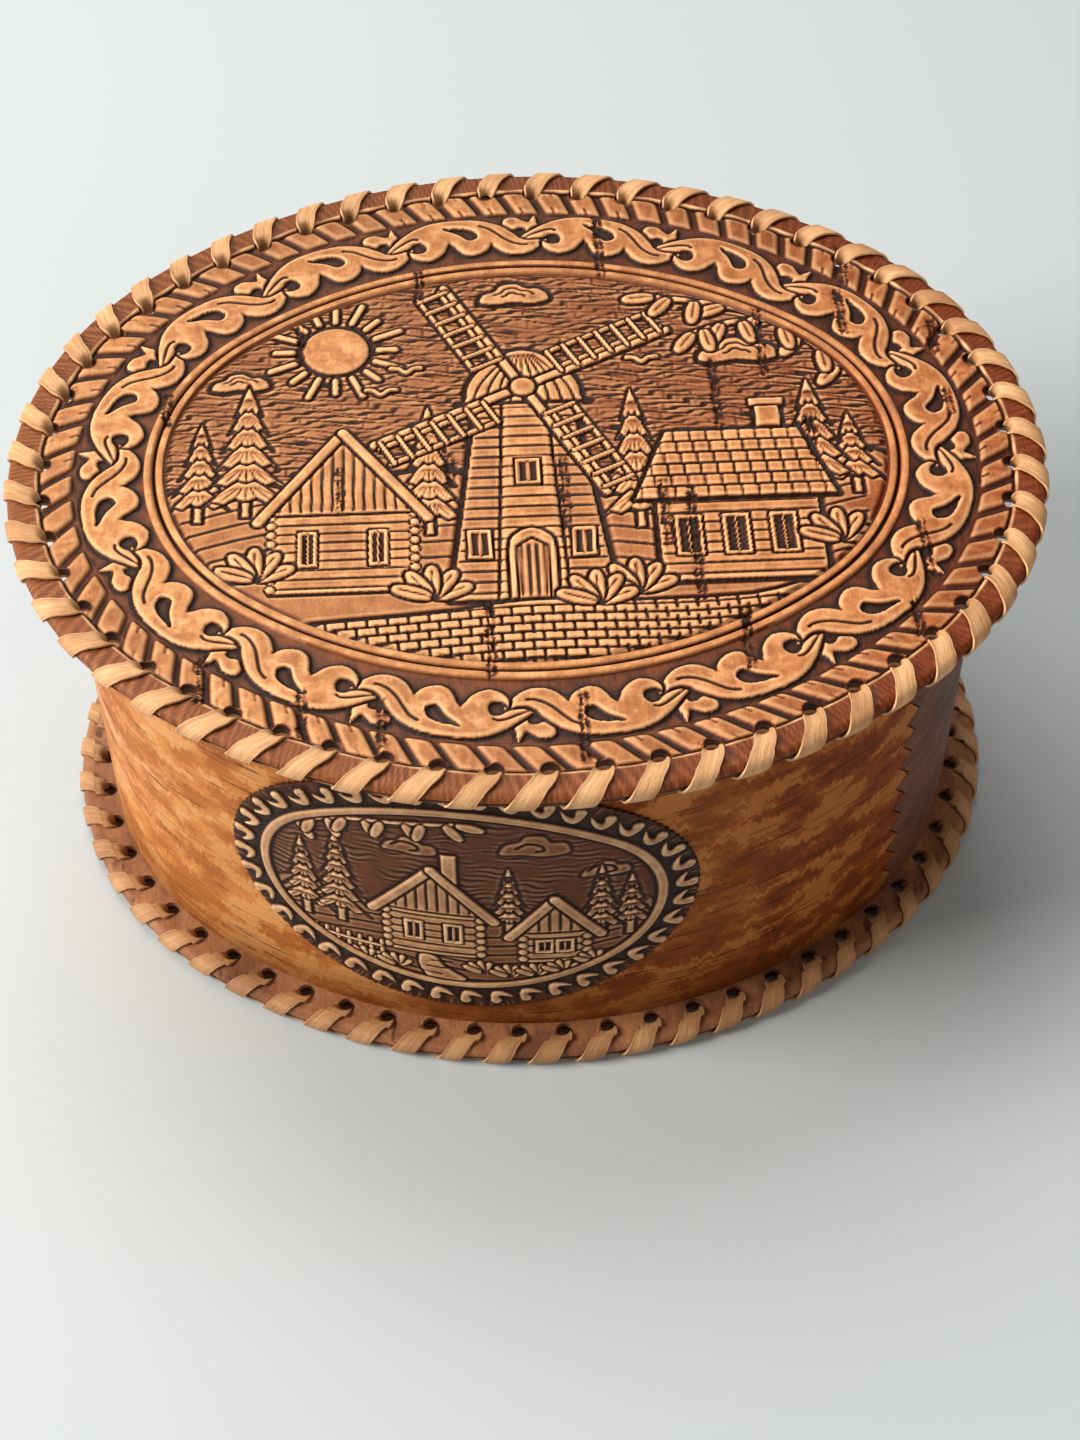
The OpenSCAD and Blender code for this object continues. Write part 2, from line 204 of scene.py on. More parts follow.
# ---- Base lacing ----
# Long strips of inner birch bark, whipped over and over through punched holes. Each comes up
# out of a hole as a curled gutter, flattens over the rim, folds round its edge and runs back below.
class FourArcOval:
    """An oval of two end arcs and two side arcs that meet smoothly; sizes in millimetres.
    Its places are given by the heading of the outward normal and by the distance inwards."""

    def __init__(self, half_length, half_width, end_radius):
        self.end_radius = end_radius
        square = half_length**2 - 2 * half_length * end_radius + half_width**2
        self.side_radius = square / (2 * (half_width - end_radius))
        self.end_x = half_length - end_radius
        self.side_y = self.side_radius - half_width
        self.join = np.arctan2(self.side_y, self.end_x)

    def radii(self, inset):
        """Radii of the end arcs and of the side arcs at an inset."""
        return self.end_radius - inset, self.side_radius - inset

    def quarter(self, inset):
        """Arc length of a quarter: end radius times the join angle plus side radius times the rest."""
        end, side = self.radii(inset)
        return end * self.join + side * (np.pi / 2 - self.join)

    def heading(self, s, inset):
        """Heading after arc length s from the +X tip: s is folded into a quarter, then divided by
        the radius of the arc that it falls on."""
        end, side = self.radii(inset)
        quarter = self.quarter(inset)
        turn = np.floor(np.asarray(s, float) / quarter)
        odd = turn % 2 == 1
        rest = s - turn * quarter
        rest = np.where(odd, quarter - rest, rest)
        angle = np.where(rest < end * self.join, rest / end, self.join + (rest - end * self.join) / side)
        return np.where(odd, (turn + 1) * np.pi / 2 - angle, turn * np.pi / 2 + angle)

    def point(self, heading, inset):
        """The arc's centre plus its radius, less the inset, along the heading."""
        c, s = np.cos(heading), np.sin(heading)
        end, side = self.radii(inset)
        on_end = np.arctan2(abs(s), abs(c)) <= self.join
        x = np.where(on_end, np.sign(c) * self.end_x + end * c, side * c)
        y = np.where(on_end, end * s, side * s - np.sign(s) * self.side_y)
        return x, y

    def place(self, x, y):
        """Heading and inset of a point: its direction and distance from the centre of its arc."""
        on_end = np.arctan2(abs(y), abs(x) - self.end_x) <= self.join
        cx, cy = np.where(on_end, np.sign(x) * self.end_x, 0), np.where(on_end, 0, -np.sign(y) * self.side_y)
        radius = np.where(on_end, self.end_radius, self.side_radius)
        return np.arctan2(y - cy, x - cx), radius - np.hypot(x - cx, y - cy)

    def arc(self, heading, inset):
        """Arc length from the +X tip to a heading: the reverse of heading()."""
        end, side = self.radii(inset)
        quarter = self.quarter(inset)
        heading = np.mod(heading, 2 * np.pi)
        turn = np.floor(heading / (np.pi / 2))
        odd = turn % 2 == 1
        angle = np.where(odd, (turn + 1) * np.pi / 2 - heading, heading - turn * np.pi / 2)
        rest = np.where(angle < self.join, angle * end, end * self.join + (angle - self.join) * side)
        return np.where(odd, (turn + 1) * quarter - rest, turn * quarter + rest)


LID_OVAL = FourArcOval(100, 84, 74)
RIM_THICK = 3.2
HOLE_RADIUS = 1.8
STRIPS = 4
STRIP_THICK = 0.6
STRIP_GAP = 0.1
STRIP_ARCH = 0.4
STRIP_END = 0.015
TURN_STEPS = 44
STRIP_COLUMNS = 9
SHARP_ANGLE = np.radians(50)


def through(keys, values, at):
    """A smooth curve through values at keys: cubic pieces whose slopes are the local differences."""
    keys, values = np.asarray(keys, float), np.asarray(values, float)
    slopes = np.gradient(values, keys)
    k = np.clip(np.searchsorted(keys, at, side="right") - 1, 0, len(keys) - 2)
    span = keys[k + 1] - keys[k]
    t = (at - keys[k]) / span
    return (
        (1 + 2 * t) * (1 - t) ** 2 * values[k]
        + t * (1 - t) ** 2 * span * slopes[k]
        + t * t * (3 - 2 * t) * values[k + 1]
        + t * t * (t - 1) * span * slopes[k + 1]
    )


def surface(name, points, faces, **values):
    """A mesh object of points in millimetres and faces, with one number a point for each named value.
    The faces are turned outwards."""
    mesh = bpy.data.meshes.new(name)
    points, faces = np.asarray(points, float).reshape(-1, 3), np.asarray(faces, np.int32)
    size = faces.shape[1]
    mesh.vertices.add(len(points))
    mesh.vertices.foreach_set("co", (points * MM).ravel())
    mesh.loops.add(faces.size)
    mesh.loops.foreach_set("vertex_index", faces.ravel())
    mesh.polygons.add(len(faces))
    mesh.polygons.foreach_set("loop_start", np.arange(len(faces), dtype=np.int32) * size)
    mesh.update(calc_edges=True)
    mesh.validate()
    for key, value in values.items():
        if key == "UVMap":
            layer = mesh.uv_layers.new(name=key)
            index = np.empty(len(mesh.loops), np.int32)
            mesh.loops.foreach_get("vertex_index", index)
            layer.data.foreach_set("uv", np.asarray(value).reshape(-1, 2)[index].ravel())
        else:
            attribute = mesh.attributes.new(key, "FLOAT", "POINT")
            attribute.data.foreach_set("value", np.asarray(value, float).ravel())
    shell = bmesh.new()
    shell.from_mesh(mesh)
    bmesh.ops.recalc_face_normals(shell, faces=shell.faces)
    shell.to_mesh(mesh)
    shell.free()
    mesh.shade_smooth()
    mesh.set_sharp_from_angle(angle=SHARP_ANGLE)
    piece = bpy.data.objects.new(name, mesh)
    bpy.context.scene.collection.objects.link(piece)
    return piece


def grid_faces(rows, columns, wrap_rows=False, wrap_columns=False):
    """Four corners of each face of a grid of points; a wrapped side joins its last line to its first."""
    index = np.arange(rows * columns).reshape(rows, columns)
    if wrap_rows:
        index = np.vstack([index, index[:1]])
    if wrap_columns:
        index = np.hstack([index, index[:, :1]])
    return np.stack([index[:-1, :-1], index[:-1, 1:], index[1:, 1:], index[1:, :-1]], -1).reshape(-1, 4)


def lacing(name, number, count, phase, hole_inset, reach, middle, seed):
    """One strip. Its centre line is a smooth path through stations of one turn, given as share of the
    pitch, distance out from the hole row, height above the rim's middle, heading of the outer side,
    half angle of the gutter, and width. The section is an arc of that angle, as thick as the bark."""
    half = RIM_THICK / 2
    lie = half + STRIP_GAP + STRIP_THICK / 2
    slant = lie * np.sin(np.pi / 4)
    fold = reach - half
    bow = HOLE_RADIUS - STRIP_THICK / 2 - 0.06
    stations = np.array([
        (0.00, bow, 0.0, 180, 95, 4.4),
        (0.035, bow + 0.02, half - 0.6, 174, 84, 4.3),
        (0.07, bow + 0.22, half + 0.22, 134, 34, 4.2),
        (0.125, bow + 1.3, lie + STRIP_ARCH * 0.3, 98, 12, 4.3),
        (0.20, fold - 1.0, lie + STRIP_ARCH * 0.5, 90, 6, 4.4),
        (0.28, fold, lie + 0.06, 84, 3, 4.5),
        (0.38, fold + slant, slant, 45, 3, 4.6),
        (0.48, fold + lie, 0.0, 0, 2, 4.6),
        (0.56, fold + slant, -slant, -45, 2, 4.6),
        (0.63, fold, -lie, -90, 2, 4.5),
        (0.85, bow + 1.2, -lie, -92, 6, 4.3),
        (0.93, bow + 0.22, -half - 0.22, -134, 34, 4.2),
        (0.965, bow + 0.02, -half + 0.6, -174, 84, 4.3),
        (1.00, bow, 0.0, -180, 95, 4.4),
    ]).T
    chance = np.random.default_rng(seed)
    pitch = 4 * LID_OVAL.quarter(hole_inset) / count
    first, last = (number - 1) * count // STRIPS, number * count // STRIPS
    turns = first + np.linspace(STRIP_END, last - first - STRIP_END, (last - first) * TURN_STEPS + 1)
    share = turns - np.floor(turns)
    out, height, heading, gutter, width = (through(stations[0], values, share) for values in stations[1:])
    knots = np.arange(first - 1, last + 2)

    def wander(size):
        """A number that drifts from turn to turn."""
        return through(knots, chance.normal(0, size, len(knots)), turns)

    flat = np.sin(np.pi * np.clip((share - 0.06) / 0.88, 0, 1))
    width = width * (1 + flat * wander(0.06))
    gutter = np.radians(gutter)
    w = np.linspace(-1, 1, STRIP_COLUMNS)[None, :]
    ripple = 0.02 * np.sin(turns * 17.0 + seed) + 0.012 * np.sin(turns * 61.0 + 2 * seed)
    radius = (width / 2 / gutter)[:, None]
    angle = w * (1 + (flat * ripple)[:, None]) * gutter[:, None]
    along = (count + phase - turns)[:, None] * pitch + radius * np.sin(angle)
    along = along + (flat * wander(0.16) + flat * (share - 0.5) * wander(0.5))[:, None]
    height = (height + flat * (height > 0) * abs(wander(0.06)))[:, None]
    rise = radius * (1 - np.cos(angle))
    thick = STRIP_THICK / 2 * (1 - 0.3 * w**2)
    lean = np.radians(heading)[:, None]
    place = np.stack(np.broadcast_arrays(w * 3, turns[:, None] * 24), -1)
    sides = []
    for side in (1, -1):
        lift = rise + side * thick * np.cos(angle)
        normal = LID_OVAL.heading(along - side * thick * np.sin(angle), hole_inset)
        x, y = LID_OVAL.point(normal, hole_inset)
        away = out[:, None] + lift * np.cos(lean)
        lowest = -lie - side * STRIP_THICK / 2
        highest = lie + 0.13 + (side + 1) / 2 * STRIP_THICK
        z = np.clip(height + lift * np.sin(lean), lowest, highest) + middle
        sides.append(np.stack([x + away * np.cos(normal), y + away * np.sin(normal), z], -1)[:, ::side])
    ring = np.concatenate(sides, 1)
    uv = np.concatenate([place, place[:, ::-1]], 1) * MM
    rows, columns = ring.shape[:2]
    left = np.arange(columns // 2 - 1)
    cap = np.stack([left, left + 1, columns - 2 - left, columns - 1 - left], -1)
    faces = np.vstack([grid_faces(rows, columns, wrap_columns=True), cap, cap + (rows - 1) * columns])
    return surface(name, ring, faces, edge=np.tile(abs(w), (rows, 2)), UVMap=uv)


def laced_bark():
    """Group: inner bark in long strips, drawn out in fine streaks along its length (Along), clouded
    at Place, darker towards its cut edges and paler on them (Edge is 1 there), with dark pores."""
    inputs = {"Along": "Vector", "Place": "Vector", "Edge": "Float"}
    inputs |= {key: "Color" for key in ("Pale", "Tan", "Brown")}
    group, inside, out = grouped("laced_bark", inputs, {"Colour": "Color", "Height": "Float"})
    figure = figured(group, inside["Along"], (900, 70, 1))
    where = figured(group, inside["Place"], (200, 200, 200))
    brown = inside["Brown"]
    colour = mixed(group, figure["Streaks"], inside["Tan"], inside["Pale"])
    layers = (
        (where["Blotches"], 0.35, 1.0, 0.6, brown),
        (figure["Flecks"], 0.0, 1.0, 0.45, brown),
        (inside["Edge"], 0.45, 0.9, 0.35, brown),
        (inside["Edge"], 0.9, 1.0, 0.7, inside["Pale"]),
    )
    height = calculated(group, "ADD", figure["Streaks"], figure["Pores"])
    feed(group, out, {"Colour": layered(group, colour, layers), "Height": height})
    return group


LACED_BARK = laced_bark()


def strip_bark(name, pale, tan, brown):
    """A satin material of bark strips."""
    material, tree, shader = finished(name, 0.42)
    along = add(tree, "UVMap", uv_map="UVMap").outputs[0]
    place = add(tree, "TexCoord").outputs["Object"]
    edge = add(tree, "Attribute", attribute_name="edge").outputs["Fac"]
    inputs = {"Along": along, "Place": place, "Edge": edge, "Pale": pale, "Tan": tan, "Brown": brown}
    bark = add(tree, "Group", inputs, node_tree=LACED_BARK).outputs
    coated(tree, shader, bark["Colour"], bark["Height"], 0.00009)
    return material


BASE_TOP = 3.9
BASE_INSET = 2.4
BASE_HOLES = 59
BASE_PHASE = 0.66
BASE_HOLE_INSET = 7.9
BASE_SEED = 40
BASE_STRIP = strip_bark("base_strip_bark", (0.60, 0.325, 0.14), (0.45, 0.205, 0.075), (0.22, 0.085, 0.028))
for number in range(1, STRIPS + 1):
    strip = lacing(
        f"base_strip_{number}", number, BASE_HOLES, BASE_PHASE, BASE_HOLE_INSET,
        BASE_HOLE_INSET - BASE_INSET, BASE_TOP - RIM_THICK / 2, BASE_SEED + number,
    )
    strip.data.materials.append(BASE_STRIP)
    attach(strip, "box")
    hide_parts(f"base_lace_{number}")


# ---- Wall ----
# An inner sheet, and outside it two sheets that lock into each other: warm orange brown bark in
# front, greyer bark behind. The fine lines of bark run level round the wall.
WALL_LINES = (45, 45, 900)
WALL_ROWS = (80, 80, 170)
WALL_COLUMNS = (1500, 1500, 90)
# Pairs of (left, right) colours. The right ones are partly the bark's redder colour and partly painted shade on the
# side away from the light.
WALL_ORANGE = (0.60, 0.215, 0.052), (0.27, 0.055, 0.007)
WALL_LIGHT = (0.78, 0.37, 0.12), (0.42, 0.12, 0.022)
WALL_STRAW = (0.74, 0.36, 0.125), (0.54, 0.19, 0.038)
WALL_SHADE = (0.38, 0.105, 0.018), (0.13, 0.025, 0.004)
WALL_DARK = (0.085, 0.017, 0.004)
GREY_COLOURS = (0.022, 0.009, 0.005), (0.13, 0.043, 0.019), (0.25, 0.10, 0.05)


def wall_bark():
    """Outer bark of the front. Each of its colours is a pair, for the orange left and the redder, darker
    right, whose darkness is partly the bark's own colour and partly painted shade. Faint level streaks,
    pale and dark patches in level rows with ragged edges, thin dark cracks and a dark foot lie over the
    ground."""
    material, tree, shader = finished("wall_bark", 0.4, 0.08)
    place = add(tree, "TexCoord").outputs["Object"]
    figure = figured(tree, place, WALL_LINES)
    x, _, z = add(tree, "SeparateXYZ", {0: place}).outputs
    # right grows towards the right: redder bark and painted shade.
    drift = calculated(tree, "ADD", x, calculated(tree, "MULTIPLY", figure["Blotches"], 0.05))
    right = spread(tree, drift, -0.06, 0.07)
    columns = calculated(tree, "MULTIPLY", place, WALL_COLUMNS, "VectorMath")
    ragged = calculated(tree, "MULTIPLY", noise(tree, columns, 0.6, 2.0)[1], (0.0, 0.0, 0.006), "VectorMath")
    rows = calculated(tree, "ADD", place, ragged, "VectorMath")
    rows = calculated(tree, "MULTIPLY", rows, WALL_ROWS, "VectorMath")
    patches = noise(tree, rows, 1.0, 3.0, 0.6)[0]
    layers = (
        (figure["Streaks"], 0.5, 1.0, 0.4, mixed(tree, right, *WALL_LIGHT)),
        (figure["Streaks"], 0.4, 0.0, 0.3, WALL_DARK),
        (patches, 0.525, 0.555, 0.6, mixed(tree, right, *WALL_STRAW)),
        (patches, 0.485, 0.42, 0.65, mixed(tree, right, *WALL_SHADE)),
        (figure["Flecks"], 0.0, 1.0, 0.7, WALL_DARK),
        (z, 0.022, 0.002, 0.6, WALL_DARK),
    )
    colour = layered(tree, mixed(tree, right, *WALL_ORANGE), layers)
    cracks = calculated(tree, "MULTIPLY", figure["Flecks"], 2.0)
    height = calculated(tree, "SUBTRACT", figure["Streaks"], cracks)
    height = calculated(tree, "ADD", height, calculated(tree, "MULTIPLY", patches, 3.0))
    coated(tree, shader, colour, height, 0.00016)
    feed(tree, shader.inputs, {"Roughness": spread(tree, patches, 0.4, 0.62, 0.5, 0.34)})
    return material


dressed("wall_front", wall_bark())
dressed("wall_back", sheet_bark("grey_bark", GREY_COLOURS, (60, 60, 700), 0.45, 0.0002))
dressed("wall_inner", under_bark)


# ---- Carving ----
# The lid's face and the plaque are single sheets of thick bark. Their pictures and borders stand
# out because the ground round them is pressed down and cut away, so the tops keep the bark's skin.
CARVING_STEP = 0.2
LOG = 2.3


def curve(points, closed=True, steps=5):
    """A smooth line through points. Each piece between two points is the cubic that leaves and
    arrives along the line between the neighbours; a doubled point stays a corner."""
    p = np.asarray(points, float)
    if closed:
        p = np.vstack([p[-1:], p, p[:2]])
    else:
        p = np.vstack([p[:1], p, p[-1:]])
    t = np.linspace(0, 1, steps, endpoint=False)[None, :, None]
    a, b, c, d = (p[i : len(p) - 3 + i, None] for i in range(4))
    line = 0.5 * (2 * b + (c - a) * t + (2 * a - 5 * b + 4 * c - d) * t**2 + (3 * b - a - 3 * c + d) * t**3)
    line = line.reshape(-1, 2)
    return line if closed else np.vstack([line, p[-1:]])


def distance(x, y, line):
    """Distance from places to an open line: the least distance to any of its straight parts."""
    nearest = np.full(np.broadcast(x, y).shape, np.inf)
    for a, b in zip(line[:-1], line[1:]):
        run = b - a
        share = np.clip(((x - a[0]) * run[0] + (y - a[1]) * run[1]) / max(run @ run, 1e-9), 0, 1)
        nearest = np.minimum(nearest, np.hypot(x - a[0] - share * run[0], y - a[1] - share * run[1]))
    return nearest


def depth_inside(x, y, outline):
    """Distance to a closed outline, positive inside it. A place is inside where a level ray from it
    crosses the outline an odd number of times."""
    ring = np.vstack([outline, outline[:1]])
    inside = np.zeros(np.broadcast(x, y).shape, bool)
    for a, b in zip(ring[:-1], ring[1:]):
        if a[1] != b[1]:
            crossing = (b[0] - a[0]) * (y - a[1]) / (b[1] - a[1]) + a[0]
            inside ^= ((a[1] > y) != (b[1] > y)) & (x < crossing)
    return np.where(inside, 1, -1) * distance(x, y, ring)


def eased(share):
    """0 to 1 with level ends."""
    share = np.clip(share, 0, 1)
    return share * share * (3 - 2 * share)


def hollowed(height, reach=4, wrap=False):
    """How far each place lies above or below the mean of the places round it, from 1 to -1."""
    mean = height
    for axis in (0, 1):
        pad = [(reach + 1, reach) if axis == k else (0, 0) for k in (0, 1)]
        total = np.cumsum(np.pad(mean, pad, mode="wrap" if wrap and axis else "edge"), axis)
        ahead = np.take(total, np.arange(2 * reach + 1, total.shape[axis]), axis)
        behind = np.take(total, np.arange(0, total.shape[axis] - 2 * reach - 1), axis)
        mean = (ahead - behind) / (2 * reach + 1)
    return np.clip((height - mean) / 0.25, -1, 1)


def shaded(height, reach, wider):
    """Hollows at a short reach, made deeper where a place also lies deep at wider reaches. The material paints shade in
    them.
    """
    return hollowed(height, reach) + np.minimum(sum(share * hollowed(height, far) for far, share in wider), 0)


def box(left, low, right, high):
    """Outline of a rectangle."""
    return np.array([(left, low), (right, low), (right, high), (left, high)], float)


def rounded(x, y, half_width, half_height, corners):
    """Outline of an ellipse round x, y."""
    turn = np.linspace(0, 2 * np.pi, corners + 1)[:-1]
    return np.stack([x + half_width * np.cos(turn), y + half_height * np.sin(turn)], -1)


class Carving:
    """The face of a carved sheet over level places x and upright places y, in millimetres. Its height
    is 0 where the bark's skin is untouched and below 0 where it is pressed down."""

    def __init__(self, x, y, ground):
        self.x, self.y, self.ground = x, y, ground
        self.height = np.full((len(y), len(x)), float(ground))

    def part(self, points, margin):
        """The rows and columns round some points, and their places."""
        low, high = points.min(0) - margin, points.max(0) + margin
        rows = slice(*np.searchsorted(self.y, (low[1], high[1])))
        columns = slice(*np.searchsorted(self.x, (low[0], high[0])))
        return (rows, columns), self.x[None, columns], self.y[rows, None]

    def stand(self, where, outside, top, moat):
        """Puts a shape's top where outside is below 0, and cuts the sheet to the ground in a moat
        round it."""
        old = self.height[where]
        moated = self.ground + (old - self.ground) * eased(outside / moat)
        self.height[where] = np.where(outside < 0, top, np.minimum(moated, old))

    def sink(self, where, depth):
        """Cuts down by a depth, but not below the ground."""
        self.height[where] = np.maximum(self.height[where] - depth, self.ground)

    def leave(self, outline, level=0.0, shoulder=1.0, moat=0.9):
        """Leaves a shape standing: its edge is steep and then rounded over the shoulder."""
        outline = np.asarray(outline, float)
        where, x, y = self.part(outline, moat)
        deep = depth_inside(x, y, outline)
        round_top = np.sqrt(1 - (1 - np.clip(deep / shoulder, 0, 1)) ** 2)
        self.stand(where, -deep, self.ground + (level - self.ground) * (0.35 + 0.65 * round_top), moat)

    def ridge(self, line, width=1.0, level=0.0, moat=0.5):
        """Leaves a line standing as a rounded ridge."""
        line = np.asarray(line, float)
        where, x, y = self.part(line, width / 2 + moat)
        off = distance(x, y, line)
        round_top = np.sqrt(np.clip(1 - (off / (width / 2)) ** 4, 0, 1))
        self.stand(where, off - width / 2, self.ground + (level - self.ground) * round_top, moat)

    def cut(self, line, width=0.55, depth=0.4):
        """Cuts a groove along a line."""
        line = np.asarray(line, float)
        where, x, y = self.part(line, width)
        self.sink(where, depth * eased(1 - distance(x, y, line) / width))

    def lines(self, outline, heading, pitch, depth=0.35, width=0.45, start=0.0, margin=0.3):
        """Cuts a row of parallel grooves inside an outline."""
        outline = np.asarray(outline, float)
        where, x, y = self.part(outline, 0)
        off = -x * np.sin(np.radians(heading)) + y * np.cos(np.radians(heading)) - start
        off = abs(np.mod(off / pitch, 1) - 0.5) * pitch
        self.sink(where, depth * eased(1 - off / width) * eased((depth_inside(x, y, outline) - margin) / 0.3))

    def at(self, values, x, y):
        """Values at any place, between the four nearest ones."""
        fx = np.clip((x - self.x[0]) / (self.x[1] - self.x[0]), 0, len(self.x) - 1.001)
        fy = np.clip((y - self.y[0]) / (self.y[1] - self.y[0]), 0, len(self.y) - 1.001)
        i, j = fx.astype(int), fy.astype(int)
        u, v = fx - i, fy - j
        low = values[j, i] * (1 - u) + values[j, i + 1] * u
        high = values[j + 1, i] * (1 - u) + values[j + 1, i + 1] * u
        return low * (1 - v) + high * v


def stained_bark():
    """Group: carved and stained bark. Relief is 0 on the dark ground and 1 on the skin on top. Hollow is
    below 0 in cuts and round the foot of raised shapes, which get painted shade with some stain, and
    above 0 on edges, which are painted pale, partly wear and partly painted highlight. Painted shade
    also makes it redder and darker to the right and darker to the back."""
    inputs = {"Place": "Vector", "Relief": "Float", "Hollow": "Float"}
    inputs |= {key: "Color" for key in ("Ground", "Cut", "Brown", "Tan", "Pale")}
    outputs = {"Colour": "Color", "Pores": "Float", "Height": "Float"}
    group, inside, out = grouped("stained_bark", inputs, outputs)
    place, hollow, ground, brown = inside["Place"], inside["Hollow"], inside["Ground"], inside["Brown"]
    figure = figured(group, place, (420, 70, 420))
    rough = calculated(group, "MULTIPLY", calculated(group, "SUBTRACT", figure["Pores"], 0.5), 0.3)
    relief = calculated(group, "ADD", inside["Relief"], rough)
    mottle = noise(group, place, 240.0, 5.0, 0.68)[0]
    layers = (
        (mottle, 0.4, 0.62, 0.75, mixed(group, 0.5, inside["Cut"], ground)),
        (relief, 0.05, 0.42, 1.0, brown),
        (relief, 0.35, 0.95, 1.0, inside["Tan"]),
        (mottle, 0.53, 0.33, 0.6, brown),
    )
    colour = layered(group, ground, layers)
    layers = (
        (figure["Blotches"], 0.3, 1.0, 0.7, mixed(group, 0.5, colour, brown)),
        (figure["Streaks"], 0.55, 0, 0.35, brown),
    )
    colour = layered(group, colour, layers)
    worn = calculated(group, "MULTIPLY", spread(group, relief, 0.6, 1.0), spread(group, mottle, 0.5, 0.66))
    colour = mixed(group, calculated(group, "MULTIPLY", worn, 0.55), colour, inside["Pale"])
    x, y, _ = add(group, "SeparateXYZ", {0: place}).outputs
    # Painted shade: redder and darker to the right, where the light's sheen is weaker, most where the relief is low.
    painted_right_shade = spread(group, relief, 1.0, 0.5, 0.45, 1.0)
    painted_right_shade = calculated(group, "MULTIPLY", spread(group, x, -0.02, 0.07), painted_right_shade)
    colour = mixed(group, painted_right_shade, colour, (0.72, 0.44, 0.26), "MULTIPLY")
    layers = (
        # Painted shade: darker towards the back, where less light falls.
        (y, 0.0, 0.08, 0.8, (0.74, 0.72, 0.70), "MULTIPLY"),
        # Edges above their surroundings get a painted highlight and some wear, cuts below them painted shade and some
        # stain.
        (hollow, 0.05, 0.8, 0.8, inside["Pale"]),
        (hollow, -0.04, -0.6, 0.95, inside["Cut"]),
    )
    height = calculated(group, "ADD", figure["Pores"], figure["Streaks"])
    feed(group, out, {"Colour": layered(group, colour, layers), "Pores": figure["Pores"], "Height": height})
    return group


STAINED_BARK = stained_bark()


def carved_bark(name, colours):
    """A satin material of carved bark in five colours (ground, cut, brown, tan, pale), for a mesh
    with the values relief and hollow."""
    material, tree, shader = finished(name, 0.42, 0.15)
    inputs = dict(zip(("Ground", "Cut", "Brown", "Tan", "Pale"), colours))
    inputs["Place"] = add(tree, "TexCoord").outputs["Object"]
    for value in ("relief", "hollow"):
        inputs[value.title()] = add(tree, "Attribute", attribute_name=value).outputs["Fac"]
    bark = add(tree, "Group", inputs, node_tree=STAINED_BARK).outputs
    coated(tree, shader, bark["Colour"], bark["Height"], 0.0001)
    feed(tree, shader.inputs, {"Roughness": spread(tree, bark["Pores"], 0.3, 0.7, 0.34, 0.54)})
    return material


def leaf(x, y, length, heading, width):
    """Outline of a pointed leaf from its stalk at x, y."""
    t = np.linspace(0, np.pi, 9)
    side = width / 2 * np.sin(t) ** 0.8
    along = length * (1 - np.cos(t)) / 2
    c, s = np.cos(np.radians(heading)), np.sin(np.radians(heading))
    u = np.concatenate([along, along[::-1][1:-1]])
    v = np.concatenate([side, -side[::-1][1:-1]])
    return np.stack([x + u * c - v * s, y + u * s + v * c], -1)


def veined(carving, x, y, length, heading, width, shoulder, moat, vein=0, groove=()):
    """A leaf left standing, with a groove from its stalk along its middle, as long as vein says."""
    carving.leave(leaf(x, y, length, heading, width), 0.0, shoulder, moat)
    if vein:
        c, s = np.cos(np.radians(heading)), np.sin(np.radians(heading))
        carving.cut([(x, y), (x + vein * c, y + vein * s)], *groove)


def fir(carving, x, foot, top, width, tiers):
    """A fir: a trunk, and tiers of drooping branches with cut needles, the lowest laid first."""
    carving.leave(box(x - 0.8, foot, x + 0.8, foot + 6), -0.1)
    step = (top - foot - 3) / (tiers + 0.8)
    for k in range(tiers):
        low = foot + 3 + k * step
        half = width / 2 * (1 - 0.82 * k / tiers)
        across = np.linspace(-1, 1, 9)
        jagged = low + 1.1 * (np.arange(9) % 2) + 1.2 * (1 - abs(across))
        upper = np.array([(half * 0.28, step * 1.25), (0, step * 1.75), (-half * 0.28, step * 1.25)])
        carving.leave(np.vstack([np.stack([x + half * across, jagged], -1), upper + (x, low)]), 0.0, 0.7, 0.7)
        for s in np.linspace(-0.8, 0.8, 7):
            carving.cut([(x + half * s, low + 1.4), (x + half * s * 0.35, low + step * 0.95)], 0.4, 0.3)


def window(carving, x, y, width, height):
    """A framed window with a cross bar."""
    frame_width = 0.8
    right, high = x + width - frame_width, y + height - frame_width
    carving.leave(box(x, y, x + width, y + height), 0.05, 0.3, 0.4)
    pane = box(x + frame_width, y + frame_width, right, high)
    where, gx, gy = carving.part(pane, 0.2)
    deep = depth_inside(gx, gy, pane)
    carving.height[where] -= 0.5 * eased(deep / 0.3 + 0.4) * (deep > -0.12)
    carving.ridge([(x + width / 2, y + frame_width), (x + width / 2, high)], 0.5, -0.08, 0.1)


def cabin(carving, left, right, floor, eave, peak):
    """A log cabin seen from its gable: logs with round ends, framed windows and a boarded roof."""
    walls = box(left, floor, right, eave)
    carving.leave(walls, -0.08, 0.5, 0.9)
    carving.lines(walls, 0, LOG, 0.34, 0.42, floor)
    for x in (left, right):
        for y in np.arange(floor + 1.2, eave, LOG):
            carving.leave(rounded(x, y, 1.05, 1.0, 8), 0.0, 0.6, 0.3)
    middle = (left + right) / 2
    gable = [(left, eave), (right, eave), (middle, peak)]
    carving.leave(gable, -0.1, 0.5, 0.6)
    carving.lines(gable, 90, 2.0, 0.3, 0.4, middle)
    for x in (left - 2.6, right + 2.6):
        carving.ridge([(x, eave - 1.6), (middle, peak + 0.6)], 2.4, 0.05, 0.6)
    third, high = (right - left) / 3, eave - floor
    for x in (left + third * 0.55, right - third * 0.55 - 3.8):
        window(carving, x, floor + high * 0.32, 3.8, high * 0.46)


